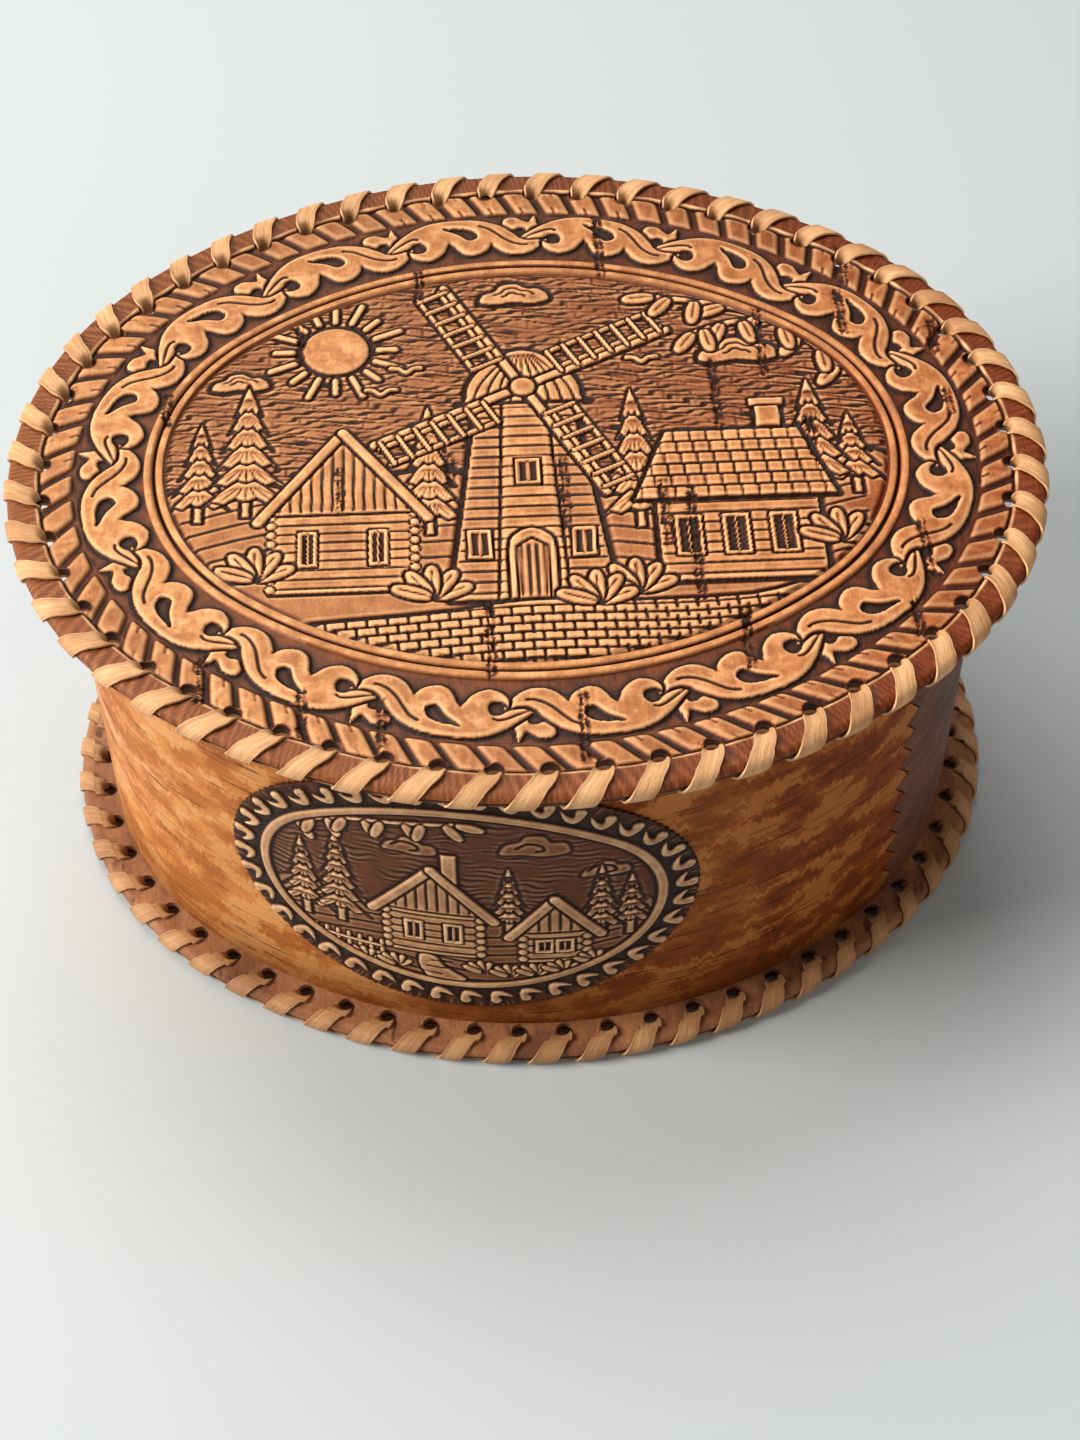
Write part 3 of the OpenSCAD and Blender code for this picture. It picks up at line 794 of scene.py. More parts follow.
def disc_grid(rows, columns):
    """A square grid bent to a disc: each place u, v goes to u root(1 - v2 / 2), v root(1 - u2 / 2)."""
    u, v = np.meshgrid(np.linspace(-1, 1, columns), np.linspace(-1, 1, rows))
    return u * np.sqrt(1 - v * v / 2), v * np.sqrt(1 - u * u / 2)


def carved_sheet(name, top, foot, relief, hollow):
    """A mesh of a grid of points on top, whose edge goes down to the edge of the foot."""
    rows, columns = relief.shape
    index = np.arange(rows * columns).reshape(rows, columns)
    rim = np.concatenate([index[0], index[1:, -1], index[-1, -2::-1], index[-2:0:-1, 0]])
    below = rows * columns + np.arange(len(rim))
    wall = np.stack([rim, below, np.roll(below, -1), np.roll(rim, -1)], -1)
    points = np.vstack([top.reshape(-1, 3), foot.reshape(-1, 3)[rim]])
    relief, hollow = (np.append(value, np.zeros(len(rim))) for value in (relief, hollow))
    return surface(name, points, np.vstack([grid_faces(rows, columns), wall]), relief=relief, hollow=hollow)


# ---- Front plaque ----
# A separate oval of dark stained bark, glued to the front of the wall and bent with it. Its edge is
# pinked, a row of hooks and a raised line run round it, and a small carved scene fills the middle.
WALL_INSET = 9.8
PLAQUE_PLACE = -16.4
PLAQUE_Z = 46.6
PLAQUE_HALF = (44.7, 36)
PLAQUE_OVAL = FourArcOval(*PLAQUE_HALF, 31)
PLAQUE_RING = FourArcOval(38.8, 28.6, 23.6)
PLAQUE_GROUND = 0.8
PLAQUE_RELIEF = 0.55
PLAQUE_LINE = 1.05
PLAQUE_EDGE = 2.6
PLAQUE_TEETH = 150
PLAQUE_COLOURS = (
    (0.042, 0.012, 0.005), (0.010, 0.004, 0.002), (0.145, 0.042, 0.014),
    (0.45, 0.20, 0.08), (0.82, 0.52, 0.28),
)
HOOKS = 40
HOOK_INSET = -3.3
HOOK_SIZE = 1.08
HOOK = [
    (-2.1, -0.4), (-2.0, -1.5), (-1.3, -2.0), (-0.4, -1.8), (0.0, -1.0), (-0.3, 0.0), (-0.1, 0.4), (0.9, 0.3),
    (2.3, -0.4), (2.3, -0.4), (1.5, 1.0), (0.3, 1.9), (-0.9, 2.0), (-1.7, 1.2),
]


def plaque_scene(carving):
    """The plaque's own small scene: a village between firs, with clouds and a hanging twig."""
    x, y = carving.x[None, :], carving.y[:, None]
    wave = (y + 0.4 * np.sin(x / 2.2 + 2 * np.sin(y / 1.9)) + 0.3 * np.sin(x * 0.9)) / 1.5
    broken = 0.5 + 0.5 * np.sin(x / 2 + 7 * np.sin(np.floor(wave)))
    carving.height = -0.40 - 0.15 * eased((abs(np.mod(wave, 1) - 0.5) * 2 - 0.5) / 0.4) * broken
    cloud = np.array([
        (-6, -1), (-5, 2), (-2.6, 3), (-1, 4.8), (2, 4.6), (3.4, 2.8), (6, 2.4), (6.6, -0.6), (2, -1.6), (-2, -1),
    ])
    fold = curve([(-3, 1), (-1, 2.4), (1.4, 1.8), (2, 0.4), (0.6, 0)], False)
    for cx, cy, size in ((-9, 15, 0.8), (14, 17, 1.0), (27, 9, 0.7)):
        carving.leave(curve(cloud * size + (cx, cy), True, 4), -0.25, 0.8, 0.9)
        carving.cut(fold + (cx, cy), 0.5, 0.3)
    hills = [(-37, -7), (-24, -2), (-12, -6), (2, -1), (16, -5), (30, 0), (37, -5), (37, -32), (-37, -32)]
    carving.leave(curve(hills), -0.3, 1.2, 0.8)
    for k in range(6):
        field = np.array([(-34, -12), (-15, -8), (5, -11), (30, -7)]) - (0, 3 * k)
        carving.cut(curve(field, False), 0.45, 0.25)
    for tree in (
        (-30, -14, 11, 11, 5), (-23, -13, 16, 12, 6), (9.5, -10, 12, 9, 5), (32, -12, 8, 9, 4),
        (26.5, -12, 12, 9, 5),
    ):
        fir(carving, *tree)
    carving.leave(box(-3, 5, 0, 15), -0.05, 0.4, 0.6)
    cabin(carving, -14, 4, -18, -4, 9)
    cabin(carving, 12, 24, -19, -9, 1)
    for px in np.arange(-33, -15, 2.2):
        carving.ridge([(px, -22.5), (px, -16.5)], 0.9, 0.0, 0.4)
    for py in (-18.2, -21):
        carving.ridge([(-34, py), (-15.5, py)], 0.7, 0.0, 0.3)
    path = [(-8, -18.6), (-5, -18.6), (-3, -22), (1, -26), (-5, -27.5), (-8, -23)]
    carving.leave(curve(path), 0.0, 0.6, 0.6)
    for k in range(3):
        carving.cut([(-5.6 - k, -20 - 2 * k), (-1.8 - k, -20.4 - 2 * k)], 0.4, 0.3)
    for bx, by in ((4, -23), (9, -24), (14, -23.5), (19, -22.5), (25, -20), (-19, -24), (-13, -24)):
        for heading in (35, 65, 95, 125, 150):
            veined(carving, bx, by, 4.2, heading, 1.7, 0.5, 0.4)
    carving.ridge(curve([(-31, 15), (-22, 20.5), (-10, 23), (0, 24.5)], False), 0.9, -0.05, 0.5)
    for lx, ly, heading in (
        (-30, 16, -60), (-27, 18, -110), (-24, 19.6, -70), (-20.5, 21, -115), (-17, 21.8, -65),
        (-13.5, 22.4, -110), (-9.5, 23, -60), (-6, 23.6, -105), (-2, 24.2, -55), (0, 24.5, -15),
    ):
        veined(carving, lx, ly, 5.6, heading, 2.3, 0.6, 0.5)


def plaque():
    """A grid bent to the pinked oval and laid on the round wall. Its height is the carving above the
    ground, and its last lines turn down to the wall."""
    steps = np.arange(-45, 45.1, CARVING_STEP), np.arange(-36.4, 36.5, CARVING_STEP)
    carving = Carving(*steps, -PLAQUE_RELIEF)
    plaque_scene(carving)
    gx, gy = np.meshgrid(carving.x, carving.y)
    inset, edge = PLAQUE_RING.place(gx, gy)[1], PLAQUE_OVAL.place(gx, gy)[1]
    carving.height[inset < PLAQUE_LINE] = -PLAQUE_RELIEF
    along, inward = curve(HOOK, True, 3).T * HOOK_SIZE
    for k in range(HOOKS):
        heading = PLAQUE_RING.heading((k + 0.3) * 4 * PLAQUE_RING.quarter(HOOK_INSET) / HOOKS, HOOK_INSET)
        x, y = PLAQUE_RING.point(heading, HOOK_INSET)
        c, s = np.cos(heading), np.sin(heading)
        carving.leave(np.stack([x - along * s - inward * c, y + along * c - inward * s], -1), 0.0, 0.9, 0.5)
    off = abs(inset - PLAQUE_LINE)
    line = np.sqrt(np.clip(1 - (off / PLAQUE_LINE) ** 3, 0, 1))
    beside = (carving.height + PLAQUE_RELIEF) * eased((off - PLAQUE_LINE) / 0.6)
    carving.height = np.where(line > 0, PLAQUE_RELIEF * line, beside) - PLAQUE_RELIEF
    heading = np.arctan2(gy, gx)
    scratch = 0.10 * np.sin(heading * 173 + 2.0 * np.sin(heading * 31)) * np.sin(heading * 97)
    scratch = scratch * eased(edge) * eased((PLAQUE_EDGE - edge) / 0.8)
    carving.height += np.where(edge < PLAQUE_EDGE, scratch, 0)
    x, y = disc_grid(252, 312)
    share = np.hypot(x, y)
    x, y = x * PLAQUE_HALF[0], y * PLAQUE_HALF[1]
    pinked = 1 - 0.004 * (1 + np.sin(np.arctan2(y, x) * PLAQUE_TEETH)) * share**30
    pinked = pinked * np.clip(1 + np.minimum(PLAQUE_OVAL.place(x, y)[1], 0) / 40, 0.9, 1)
    x, y = x * pinked, y * pinked
    height = carving.at(carving.height, x, y)
    hollow = carving.at(shaded(carving.height, 4, [(9, 0.5)]), x, y)
    lift = PLAQUE_GROUND + PLAQUE_RELIEF + height
    lift = lift * np.sqrt(np.clip(1 - np.clip(share - 0.992, 0, 1) / 0.02, 0.3, 1))
    middle = LID_OVAL.heading(3 * LID_OVAL.quarter(WALL_INSET) + PLAQUE_PLACE, WALL_INSET)

    def on_wall(off):
        """Places at a distance out from the wall, which is part of a cylinder here."""
        radius = LID_OVAL.side_radius - WALL_INSET
        bend = middle + np.arcsin(x / radius)
        radius = radius + off
        return np.stack([radius * np.cos(bend), LID_OVAL.side_y + radius * np.sin(bend), PLAQUE_Z + y], -1)

    return carved_sheet("plaque", on_wall(lift), on_wall(0.05), 1 + height / PLAQUE_RELIEF, hollow)


front_plaque = plaque()
front_plaque.data.materials.append(carved_bark("plaque_bark", PLAQUE_COLOURS))
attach(front_plaque, "box")
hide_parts("medallion")


# ---- Lid sheets ----
# Under the carved face lie a stiff board and an inner sheet of smooth bark. A bent collar is glued
# below them and drops into the mouth of the wall.
# The lid's board is painted near black too: painted shade inside the holes.
dressed("lid_core", bark_board)
dressed("lid_lining", under_bark)
dressed("lid_collar", under_bark)


# ---- Carved lid face ----
# One thick sheet, punched round its edge. From the edge inwards it has a plain brown rim, a row of
# slanted leaves between the holes, a running scroll, a double line and a carved picture.
LID_TOP = 91.0
FACE_THICK = 1.3
LID_HOLES = 55
LID_PHASE = 0.32
LID_HOLE_INSET = 6.5
HOLE_COLUMNS = 27
LID_GROUND = -0.85
LEAVES = 76
LEAF_START = 6.0
LEAF_ENDS = (6.25, 12.35)
LEAF_BAND = 13.2
SCROLLS = 16
SCROLL_INSET = 20.0
SCROLL_PHASE = 6.5
SCROLL_END = 26.2
RING = FourArcOval(74, 56.5, 46.5)
RING_LINE = 1.75
RING_SPACE = 0.5
RING_INSIDE = 2 * RING_LINE + RING_SPACE + 0.3
LID_COLOURS = (
    (0.12, 0.038, 0.016), (0.014, 0.005, 0.002), (0.24, 0.070, 0.021),
    (0.66, 0.27, 0.09), (0.90, 0.50, 0.23),
)
HUB = 19
SUN = (-37, 31)
SCROLL_LEAF = [
    (1.0, 20.3), (3.3, 20.8), (5.0, 20.3), (6.5, 18.8), (8.2, 17.0), (10.0, 15.7), (12.5, 14.5), (15.0, 13.9),
    (18.0, 13.6), (21.0, 13.5), (24.0, 13.9), (26.5, 14.8), (28.5, 16.0), (30.0, 17.0), (31.8, 18.5), (33.2, 19.8),
    (33.2, 19.8), (32.3, 20.5), (30.5, 20.6), (28.6, 20.1), (27.4, 19.2), (26.2, 19.0), (25.4, 19.8), (25.1, 20.9),
    (25.6, 21.9), (26.8, 22.2), (28.0, 21.8), (28.8, 21.0), (28.8, 21.0), (28.9, 22.5), (28.0, 23.8), (26.8, 24.6),
    (25.0, 25.0), (23.0, 24.3), (21.5, 23.0), (20.8, 21.7), (20.1, 20.8), (20.1, 20.8), (19.3, 21.6), (18.6, 23.0),
    (17.5, 24.4), (15.8, 25.0), (14.0, 24.7), (12.3, 23.7), (11.3, 22.2), (11.3, 22.2), (10.5, 23.2), (9.0, 24.6),
    (7.0, 25.4), (4.8, 25.4), (2.8, 24.6), (1.3, 23.3), (0.0, 21.8), (-0.6, 20.6), (-0.6, 20.6),
]
SCROLL_EYE = [
    (14.0, 19.0), (14.6, 17.7), (15.8, 16.9), (17.5, 16.4), (19.3, 16.2), (20.6, 15.9), (20.0, 16.7), (18.8, 17.5),
    (17.6, 18.5), (16.6, 19.7), (15.8, 20.4), (14.9, 20.3), (14.2, 19.8),
]
SCROLL_CUTS = [
    [(3.7, 22.6), (5.0, 22.6), (6.8, 21.9), (8.5, 20.6), (10.0, 18.9), (11.6, 17.2), (13.2, 16.3)],
    [(26.3, 18.1), (27.2, 17.8), (28.6, 18.2), (30.4, 19.1), (32.4, 20.1)],
]
SCROLL_TWIG = [
    (2.0, 13.1), (2.0, 13.1), (1.9, 14.5), (1.6, 15.8), (1.3, 17.0), (2.3, 18.2), (3.3, 19.2), (3.9, 18.2), (4.2, 17.4),
    (5.2, 17.1), (6.3, 17.6), (7.4, 17.5), (8.4, 16.6), (8.7, 15.4), (8.2, 14.3), (7.0, 13.8), (5.6, 14.0), (4.5, 14.8),
    (3.5, 15.3), (3.0, 14.4), (2.4, 13.3),
]
CRACKS = [
    (17.5, 70, 50), (48.2, 40, 19), (65.3, 45, 30), (67.3, 58, 45), (83.0, 35, 24), (38.0, 26, 4), (55.5, 9, -4),
    (-36.0, -1, -15), (-14.8, 1, -9), (6.9, 0, -21), (-8.6, -36, -57), (-28.6, -59, -72), (-42.8, -56, -69),
    (-61.0, -46, -61), (25.7, -7, -26), (30.7, -9, -40), (38.2, -40, -57), (7.3, -59, -77), (69.8, -40, -51),
    (73.6, -20, -36), (-44.0, 40, 27), (-20.0, 55, 44), (-70.0, 22, 10), (83.5, 15, 6),
]


def leaf_band(s, inset):
    """Height of the row of slanted leaves. The outer end of each lies further round than its inner
    end. The distances to its sides and ends, blended at the corners, give its rounded edge, and a
    short cut splits its inner end."""
    around = 4 * LID_OVAL.quarter(SCROLL_INSET)
    pitch = around / LEAVES
    lean = 0.56 - 0.16 * np.sin(2 * np.pi * s / around)
    number = (s - (12.3 - inset) * lean) / pitch
    which = np.floor(number)
    uneven = np.sin(which * 12.9898)
    across = (number - which - 0.5) * pitch - 0.2 * uneven
    side = (2.2 + 0.12 * np.sin(which * 4.1) - abs(across)) * 0.86
    ends = np.minimum(inset - LEAF_ENDS[0], LEAF_ENDS[1] + 0.2 * uneven - inset)
    deep = -np.log(np.exp(-2.6 * side) + np.exp(-2.6 * ends)) / 2.6
    rise = 1 - (1 - np.clip((deep + 0.3) / 1.2, 0, 1)) ** 2.4
    height = LID_GROUND + (0.06 * uneven - 0.08 - LID_GROUND) * rise
    split = np.maximum(
        eased(1 - abs(across - 0.8 * uneven) / 0.4) * eased((inset - 10.6) / 0.5),
        eased(1 - abs(across + 0.9 * uneven) / 0.3) * eased((8.2 - inset) / 0.6) * 0.6,
    )
    return height - np.where((deep > 0) & (uneven > -0.3), 0.3 * split, 0)


def scroll_tile():
    """The running scroll, drawn three times so that each leaf's tip lies over the next one's stem."""
    pitch = 4 * LID_OVAL.quarter(SCROLL_INSET) / SCROLLS
    carving = Carving(np.arange(0, pitch + 0.2, 0.15), np.arange(12.6, 26.4, 0.15), LID_GROUND)
    for shift in ((pitch, 0), (0, 0), (-pitch, 0)):
        carving.leave(curve(SCROLL_TWIG, True, 4) + shift, -0.05)
        carving.leave(curve(SCROLL_LEAF, True, 4) + shift, 0.0, 1.0)
        eye = curve(SCROLL_EYE, True, 4) + shift
        where, x, y = carving.part(eye, 0.4)
        deep = depth_inside(x, y, eye)
        carving.height[where] += (LID_GROUND - carving.height[where]) * eased(deep / 0.35 + 0.6)
        for line in SCROLL_CUTS:
            carving.cut(curve(line, False, 4) + shift, 0.5, 0.42)
    return carving, pitch


SCROLL, SCROLL_PITCH = scroll_tile()
SCROLL_HOLLOWS = shaded(SCROLL.height, 5, [(12, 0.4)])


def lid_cracks(x, y):
    """Share of a dark crack at each place. A crack is two ragged lines side by side across the sheet,
    broken here and there, with short nicks to both sides."""
    share = np.zeros(x.shape)
    for cx, top, foot in CRACKS:
        away = x - cx - 0.16 * np.sin(y * 0.8 + cx) - 0.09 * np.sin(y * 4.7 + 2 * cx)
        ends = eased((top - y) / 1.5) * eased((y - foot) / 1.5)
        for side, size, phase in ((-0.5, 1.0, 0), (0.6, 0.8, 2)):
            broken = 0.8 + 0.25 * np.sin(y * 1.9 + phase * cx + phase)
            wide = 0.34 * (0.85 + 0.5 * np.sin(y * 2.7 + 3 * np.sin(y * 0.9 + cx) + phase))
            share = np.maximum(share, size * broken * ends * eased(1.6 - abs(away - side) / wide))
        uneven = np.sin(y * 2.3 + cx * 5 + 2.6 * np.sin(y * 1.1 + 3 * cx))
        nicks = eased(1.6 - abs(away - 0.3 * np.sin(y * 1.7)) / 0.8) * eased((uneven - 0.72) / 0.2)
        share = np.maximum(share, 0.8 * nicks * ends)
    return share


def lid_values(x, y, height, hollow, relief):
    """Adds the cracks to a carved height and returns what the material reads."""
    crack = lid_cracks(x, y)
    return height - 0.3 * crack, np.minimum(hollow, 1 - 2.2 * crack), relief * (1 - 0.8 * crack)


def lid_rim():
    """The outer part: a section carried round the oval, over the rounded edge, the brown rim and the
    leaves, and back below. Faces inside a punched hole are left out and its wall joins top to bottom."""
    columns = LID_HOLES * HOLE_COLUMNS
    pitch = 4 * LID_OVAL.quarter(LID_HOLE_INSET) / LID_HOLES
    s = np.arange(columns)[None, :] / HOLE_COLUMNS * pitch
    heading = LID_OVAL.heading(s, LID_HOLE_INSET)
    half = RIM_THICK / 2
    round_edge = np.linspace(np.arcsin((half - FACE_THICK) / half), np.pi / 2, 8)
    fine, coarse = np.arange(4.7, 8.7, 0.3), np.linspace(8.7, LEAF_BAND, 17)
    flat = np.concatenate([np.linspace(half, 4.4, 8)[1:], fine, coarse])
    top_inset = np.concatenate([half - half * np.cos(round_edge), flat])
    holed = np.flatnonzero((top_inset > fine[0] - 0.4) & (top_inset < coarse[0] + 0.2))
    low_inset = np.concatenate([[LEAF_BAND], top_inset[holed][::-1], [top_inset[0]]])
    level = np.concatenate([half * np.sin(round_edge) - half, 0 * flat, np.full(len(low_inset), -FACE_THICK)])
    inset = np.concatenate([top_inset, low_inset])[:, None]
    rows, top_rows = len(inset), len(top_inset)
    x, y = LID_OVAL.point(heading, inset)
    rim_edge = eased((inset - 5.7) / 0.4)
    wave = 0.06 * np.sin(s * 0.9 + 2 * np.sin(s * 0.23)) * eased((inset - 1) / 1)
    leaves = leaf_band(LID_OVAL.arc(heading, SCROLL_INSET), inset)
    height = np.where(inset > LEAF_START, leaves, -0.03 - wave - rim_edge * 0.3)

    # the points round each hole are drawn to its circle
    beside = (((s + pitch / HOLE_COLUMNS / 2) / pitch - LID_PHASE + 0.5) % 1 - 0.5) * pitch
    gone = np.hypot(beside, (inset + np.roll(inset, -1, 0)) / 2 - LID_HOLE_INSET) < HOLE_RADIUS
    gone[top_rows - 1] = gone[-1] = False
    near = [gone, np.roll(gone, 1, 0), np.roll(gone, 1, 1), np.roll(gone, (1, 1), (0, 1))]
    lip = np.any(near, 0) & ~np.all(near, 0)
    hole = np.round(s / pitch - LID_PHASE) + LID_PHASE
    hx, hy = LID_OVAL.point(LID_OVAL.heading(hole * pitch, LID_HOLE_INSET), LID_HOLE_INSET)
    fit = HOLE_RADIUS / np.maximum(np.hypot(x - hx, y - hy), 1e-6)
    x, y = np.where(lip, hx + (x - hx) * fit, x), np.where(lip, hy + (y - hy) * fit, y)

    streaks = 0.13 * np.sin(s * 4.3 + 3 * np.sin(s * 0.7) + inset) + 0.08 * np.sin(s * 9.7 + 2 * inset)
    worn = 0.84 + 0.10 * np.sin(s * 1.7 + 4 * np.sin(s * 0.37))
    relief = np.where(inset > LEAF_START, (1 + height / -LID_GROUND) * worn, 0.36 + streaks - 0.3 * rim_edge)
    height, hollow, relief = lid_values(x, y, height, hollowed(height, 2, True), relief)
    is_top = np.arange(rows)[:, None] < top_rows
    # Painted shade in the punched holes: the lips are a little darker, and the bottom rows get no relief and the full
    # cut colour, so the hole walls darken downwards.
    relief = np.where(is_top, np.where(lip, 0.35, relief), 0.0)
    hollow = np.where(is_top, np.where(lip, -0.1, hollow), -1.0)
    z = LID_TOP + level[:, None] + np.where(is_top & (inset > 1.0), np.minimum(height, 0.04), 0)
    index = np.arange(rows * columns).reshape(rows, columns)
    partner = np.full(rows, -1)
    partner[holed] = top_rows + 1 + np.arange(len(holed))[::-1]
    faces = [grid_faces(rows, columns, True, True).reshape(rows, columns, 4)[~gone]]
    for axis in (1, 0):
        r, c = np.nonzero((gone != np.roll(gone, 1, axis)) & is_top)
        next_r, next_c = (r + axis) % rows, (c + 1 - axis) % columns
        corners = (r, c), (next_r, next_c), (partner[next_r], next_c), (partner[r], c)
        faces.append(np.stack([index[corner] for corner in corners], -1))
    return surface("lid_rim", np.stack([x, y, z], -1), np.vstack(faces), relief=relief, hollow=hollow)


def lid_scroll():
    """The middle part, between the leaves and the picture: lines of points from the lid's oval to the
    ring's oval, with the scroll and the double line as heights."""
    columns, rows = 1504, 60
    s = np.arange(columns) / columns * 4 * LID_OVAL.quarter(SCROLL_INSET)
    heading = LID_OVAL.heading(s, SCROLL_INSET)
    outer, inner = LID_OVAL.point(heading, LEAF_BAND), RING.point(heading, RING_INSIDE)
    share = np.linspace(0, 1, rows)[:, None]
    x, y = (a * (1 - share) + b * share for a, b in zip(outer, inner))
    at, inset = LID_OVAL.place(x, y)
    s = np.mod(LID_OVAL.arc(at, SCROLL_INSET) + SCROLL_PHASE, SCROLL_PITCH)
    height = np.where(inset < SCROLL_END, SCROLL.at(SCROLL.height, s, inset), LID_GROUND)
    hollow = np.where(inset < SCROLL_END, SCROLL.at(SCROLL_HOLLOWS, s, inset), 0)
    ring_inset = RING.place(x, y)[1]
    # The two lines get a faint painted highlight, and the space between them painted shade.
    for start in (0, RING_LINE + RING_SPACE):
        off = abs(ring_inset - start - RING_LINE / 2) / (RING_LINE / 2)
        height = np.where(off < 1, LID_GROUND * (1 - np.sqrt(np.clip(1 - off**4, 0, 1))), height)
        hollow = np.where(off < 1, 0.15, hollow)
    hollow = np.where((abs(ring_inset - RING_LINE - RING_SPACE / 2) < 0.3), -0.8, hollow)
    height = np.where((ring_inset > -0.5) & (ring_inset < 0), np.minimum(height, LID_GROUND), height)
    height, hollow, relief = lid_values(x, y, height, hollow, 1 + height / -LID_GROUND)
    top = np.stack([x, y, LID_TOP + height], -1)
    low = top[[-1, 0]]
    low[..., 2] = LID_TOP - FACE_THICK
    relief, hollow = np.vstack([relief, relief[[-1, 0]]]), np.vstack([hollow, hollow[[-1, 0]]])
    faces = grid_faces(rows + 2, columns, True, True)
    return surface("lid_scroll", np.vstack([top, low]), faces, relief=relief, hollow=hollow)


def windmill(carving):
    """A tower of three boarded faces, a ribbed cap, a door, windows and four sails."""
    tower = [(-15.5, -37), (15.5, -37), (9, 17), (-9, 17)]
    carving.leave(tower, -0.22, 1.0, 2.0)
    carving.leave([(-6.6, -37), (6.6, -37), (4.2, 17), (-4.2, 17)], 0.0, 1.4, 0.5)
    carving.lines(tower, 0, 2.7, 0.36, 0.45, 1.0)
    cap = [(-11.5, 15), (-10.6, 20.5), (-6.4, 26.5), (0, 29.6), (6.4, 26.5), (10.6, 20.5), (11.5, 15)]
    carving.leave(curve([cap[0], *cap, cap[-1]], True, 4), 0.05, 2.6, 1.6)
    for k in range(-4, 5):
        carving.cut(curve([(k * 2.5, 15.2), (k * 2.0, 20.5), (k * 0.6, 28)], False, 4), 0.45, 0.45)
    for opening in ((-12.2, -27, 4.8, 7.5), (7.4, -27, 4.8, 7.5), (-2.6, -8, 5.2, 7.0)):
        window(carving, *opening)
    arch = [(-4.4, -37), (-4.4, -24), (-2.8, -20.6), (0, -19.4), (2.8, -20.6), (4.4, -24), (4.4, -37)]
    carving.leave(curve([arch[0], *arch, arch[-1]], True, 4), 0.05, 0.5, 0.9)
    carving.leave([(-2.9, -37), (2.9, -37), (2.9, -24), (0, -22), (-2.9, -24)], -0.12, 0.4, 0.5)
    carving.lines(box(-2.9, -37, 2.9, -23), 90, 1.5, 0.35, 0.4)
    for turn in np.radians((27, 117, 207, 297)):
        c, s = np.cos(turn), np.sin(turn)
        bars = [(0, 0, 33, 0, 2.0, 0.08, 1.0)]
        bars += [(9, v, 32.5, v, 1.1, 0.05, 0.7) for v in (1.4, 6.2)]
        bars += [(u, 0, u, 6.4, 1.0, 0.05, 0.5) for u in np.arange(9, 33, 3.8)]
        for from_u, from_v, to_u, to_v, *shape in bars:
            ends = [(u * c - v * s, HUB + u * s + v * c) for u, v in ((from_u, from_v), (to_u, to_v))]
            carving.ridge(ends, *shape)
    carving.leave(rounded(0, HUB, 2.6, 2.6, 24), 0.1, 1.6, 0.9)


def sky(x, y):
    """Height of the sky: level cuts that waver and break off, joined by short slanting ones."""
    wave = (y + 0.5 * np.sin(x / 3.1 + 1.7 * np.sin(y / 2.3)) + 0.35 * np.sin(x / 1.3 + y * 2.1)) / 1.35
    row = np.floor(wave)
    line = eased((abs(np.mod(wave, 1) - 0.5) * 2 - 0.45) / 0.5)
    broken = 0.5 + 0.5 * np.sin(x / 5.5 + 5 * np.sin(row * 2.4))
    joint = eased(1 - abs(np.mod(x / 5.3 + 3.7 * np.sin(row * 1.9), 1) - 0.5) * 5.3 / 0.4)
    joint = joint * (np.sin(row * 3.3 + x / 9) > 0.2)
    cuts = np.maximum(line * (0.35 + 0.65 * broken), 0.35 * joint)
    return -0.42 + 0.05 * np.sin(x * 0.4 + y * 0.7) - 0.34 * cuts


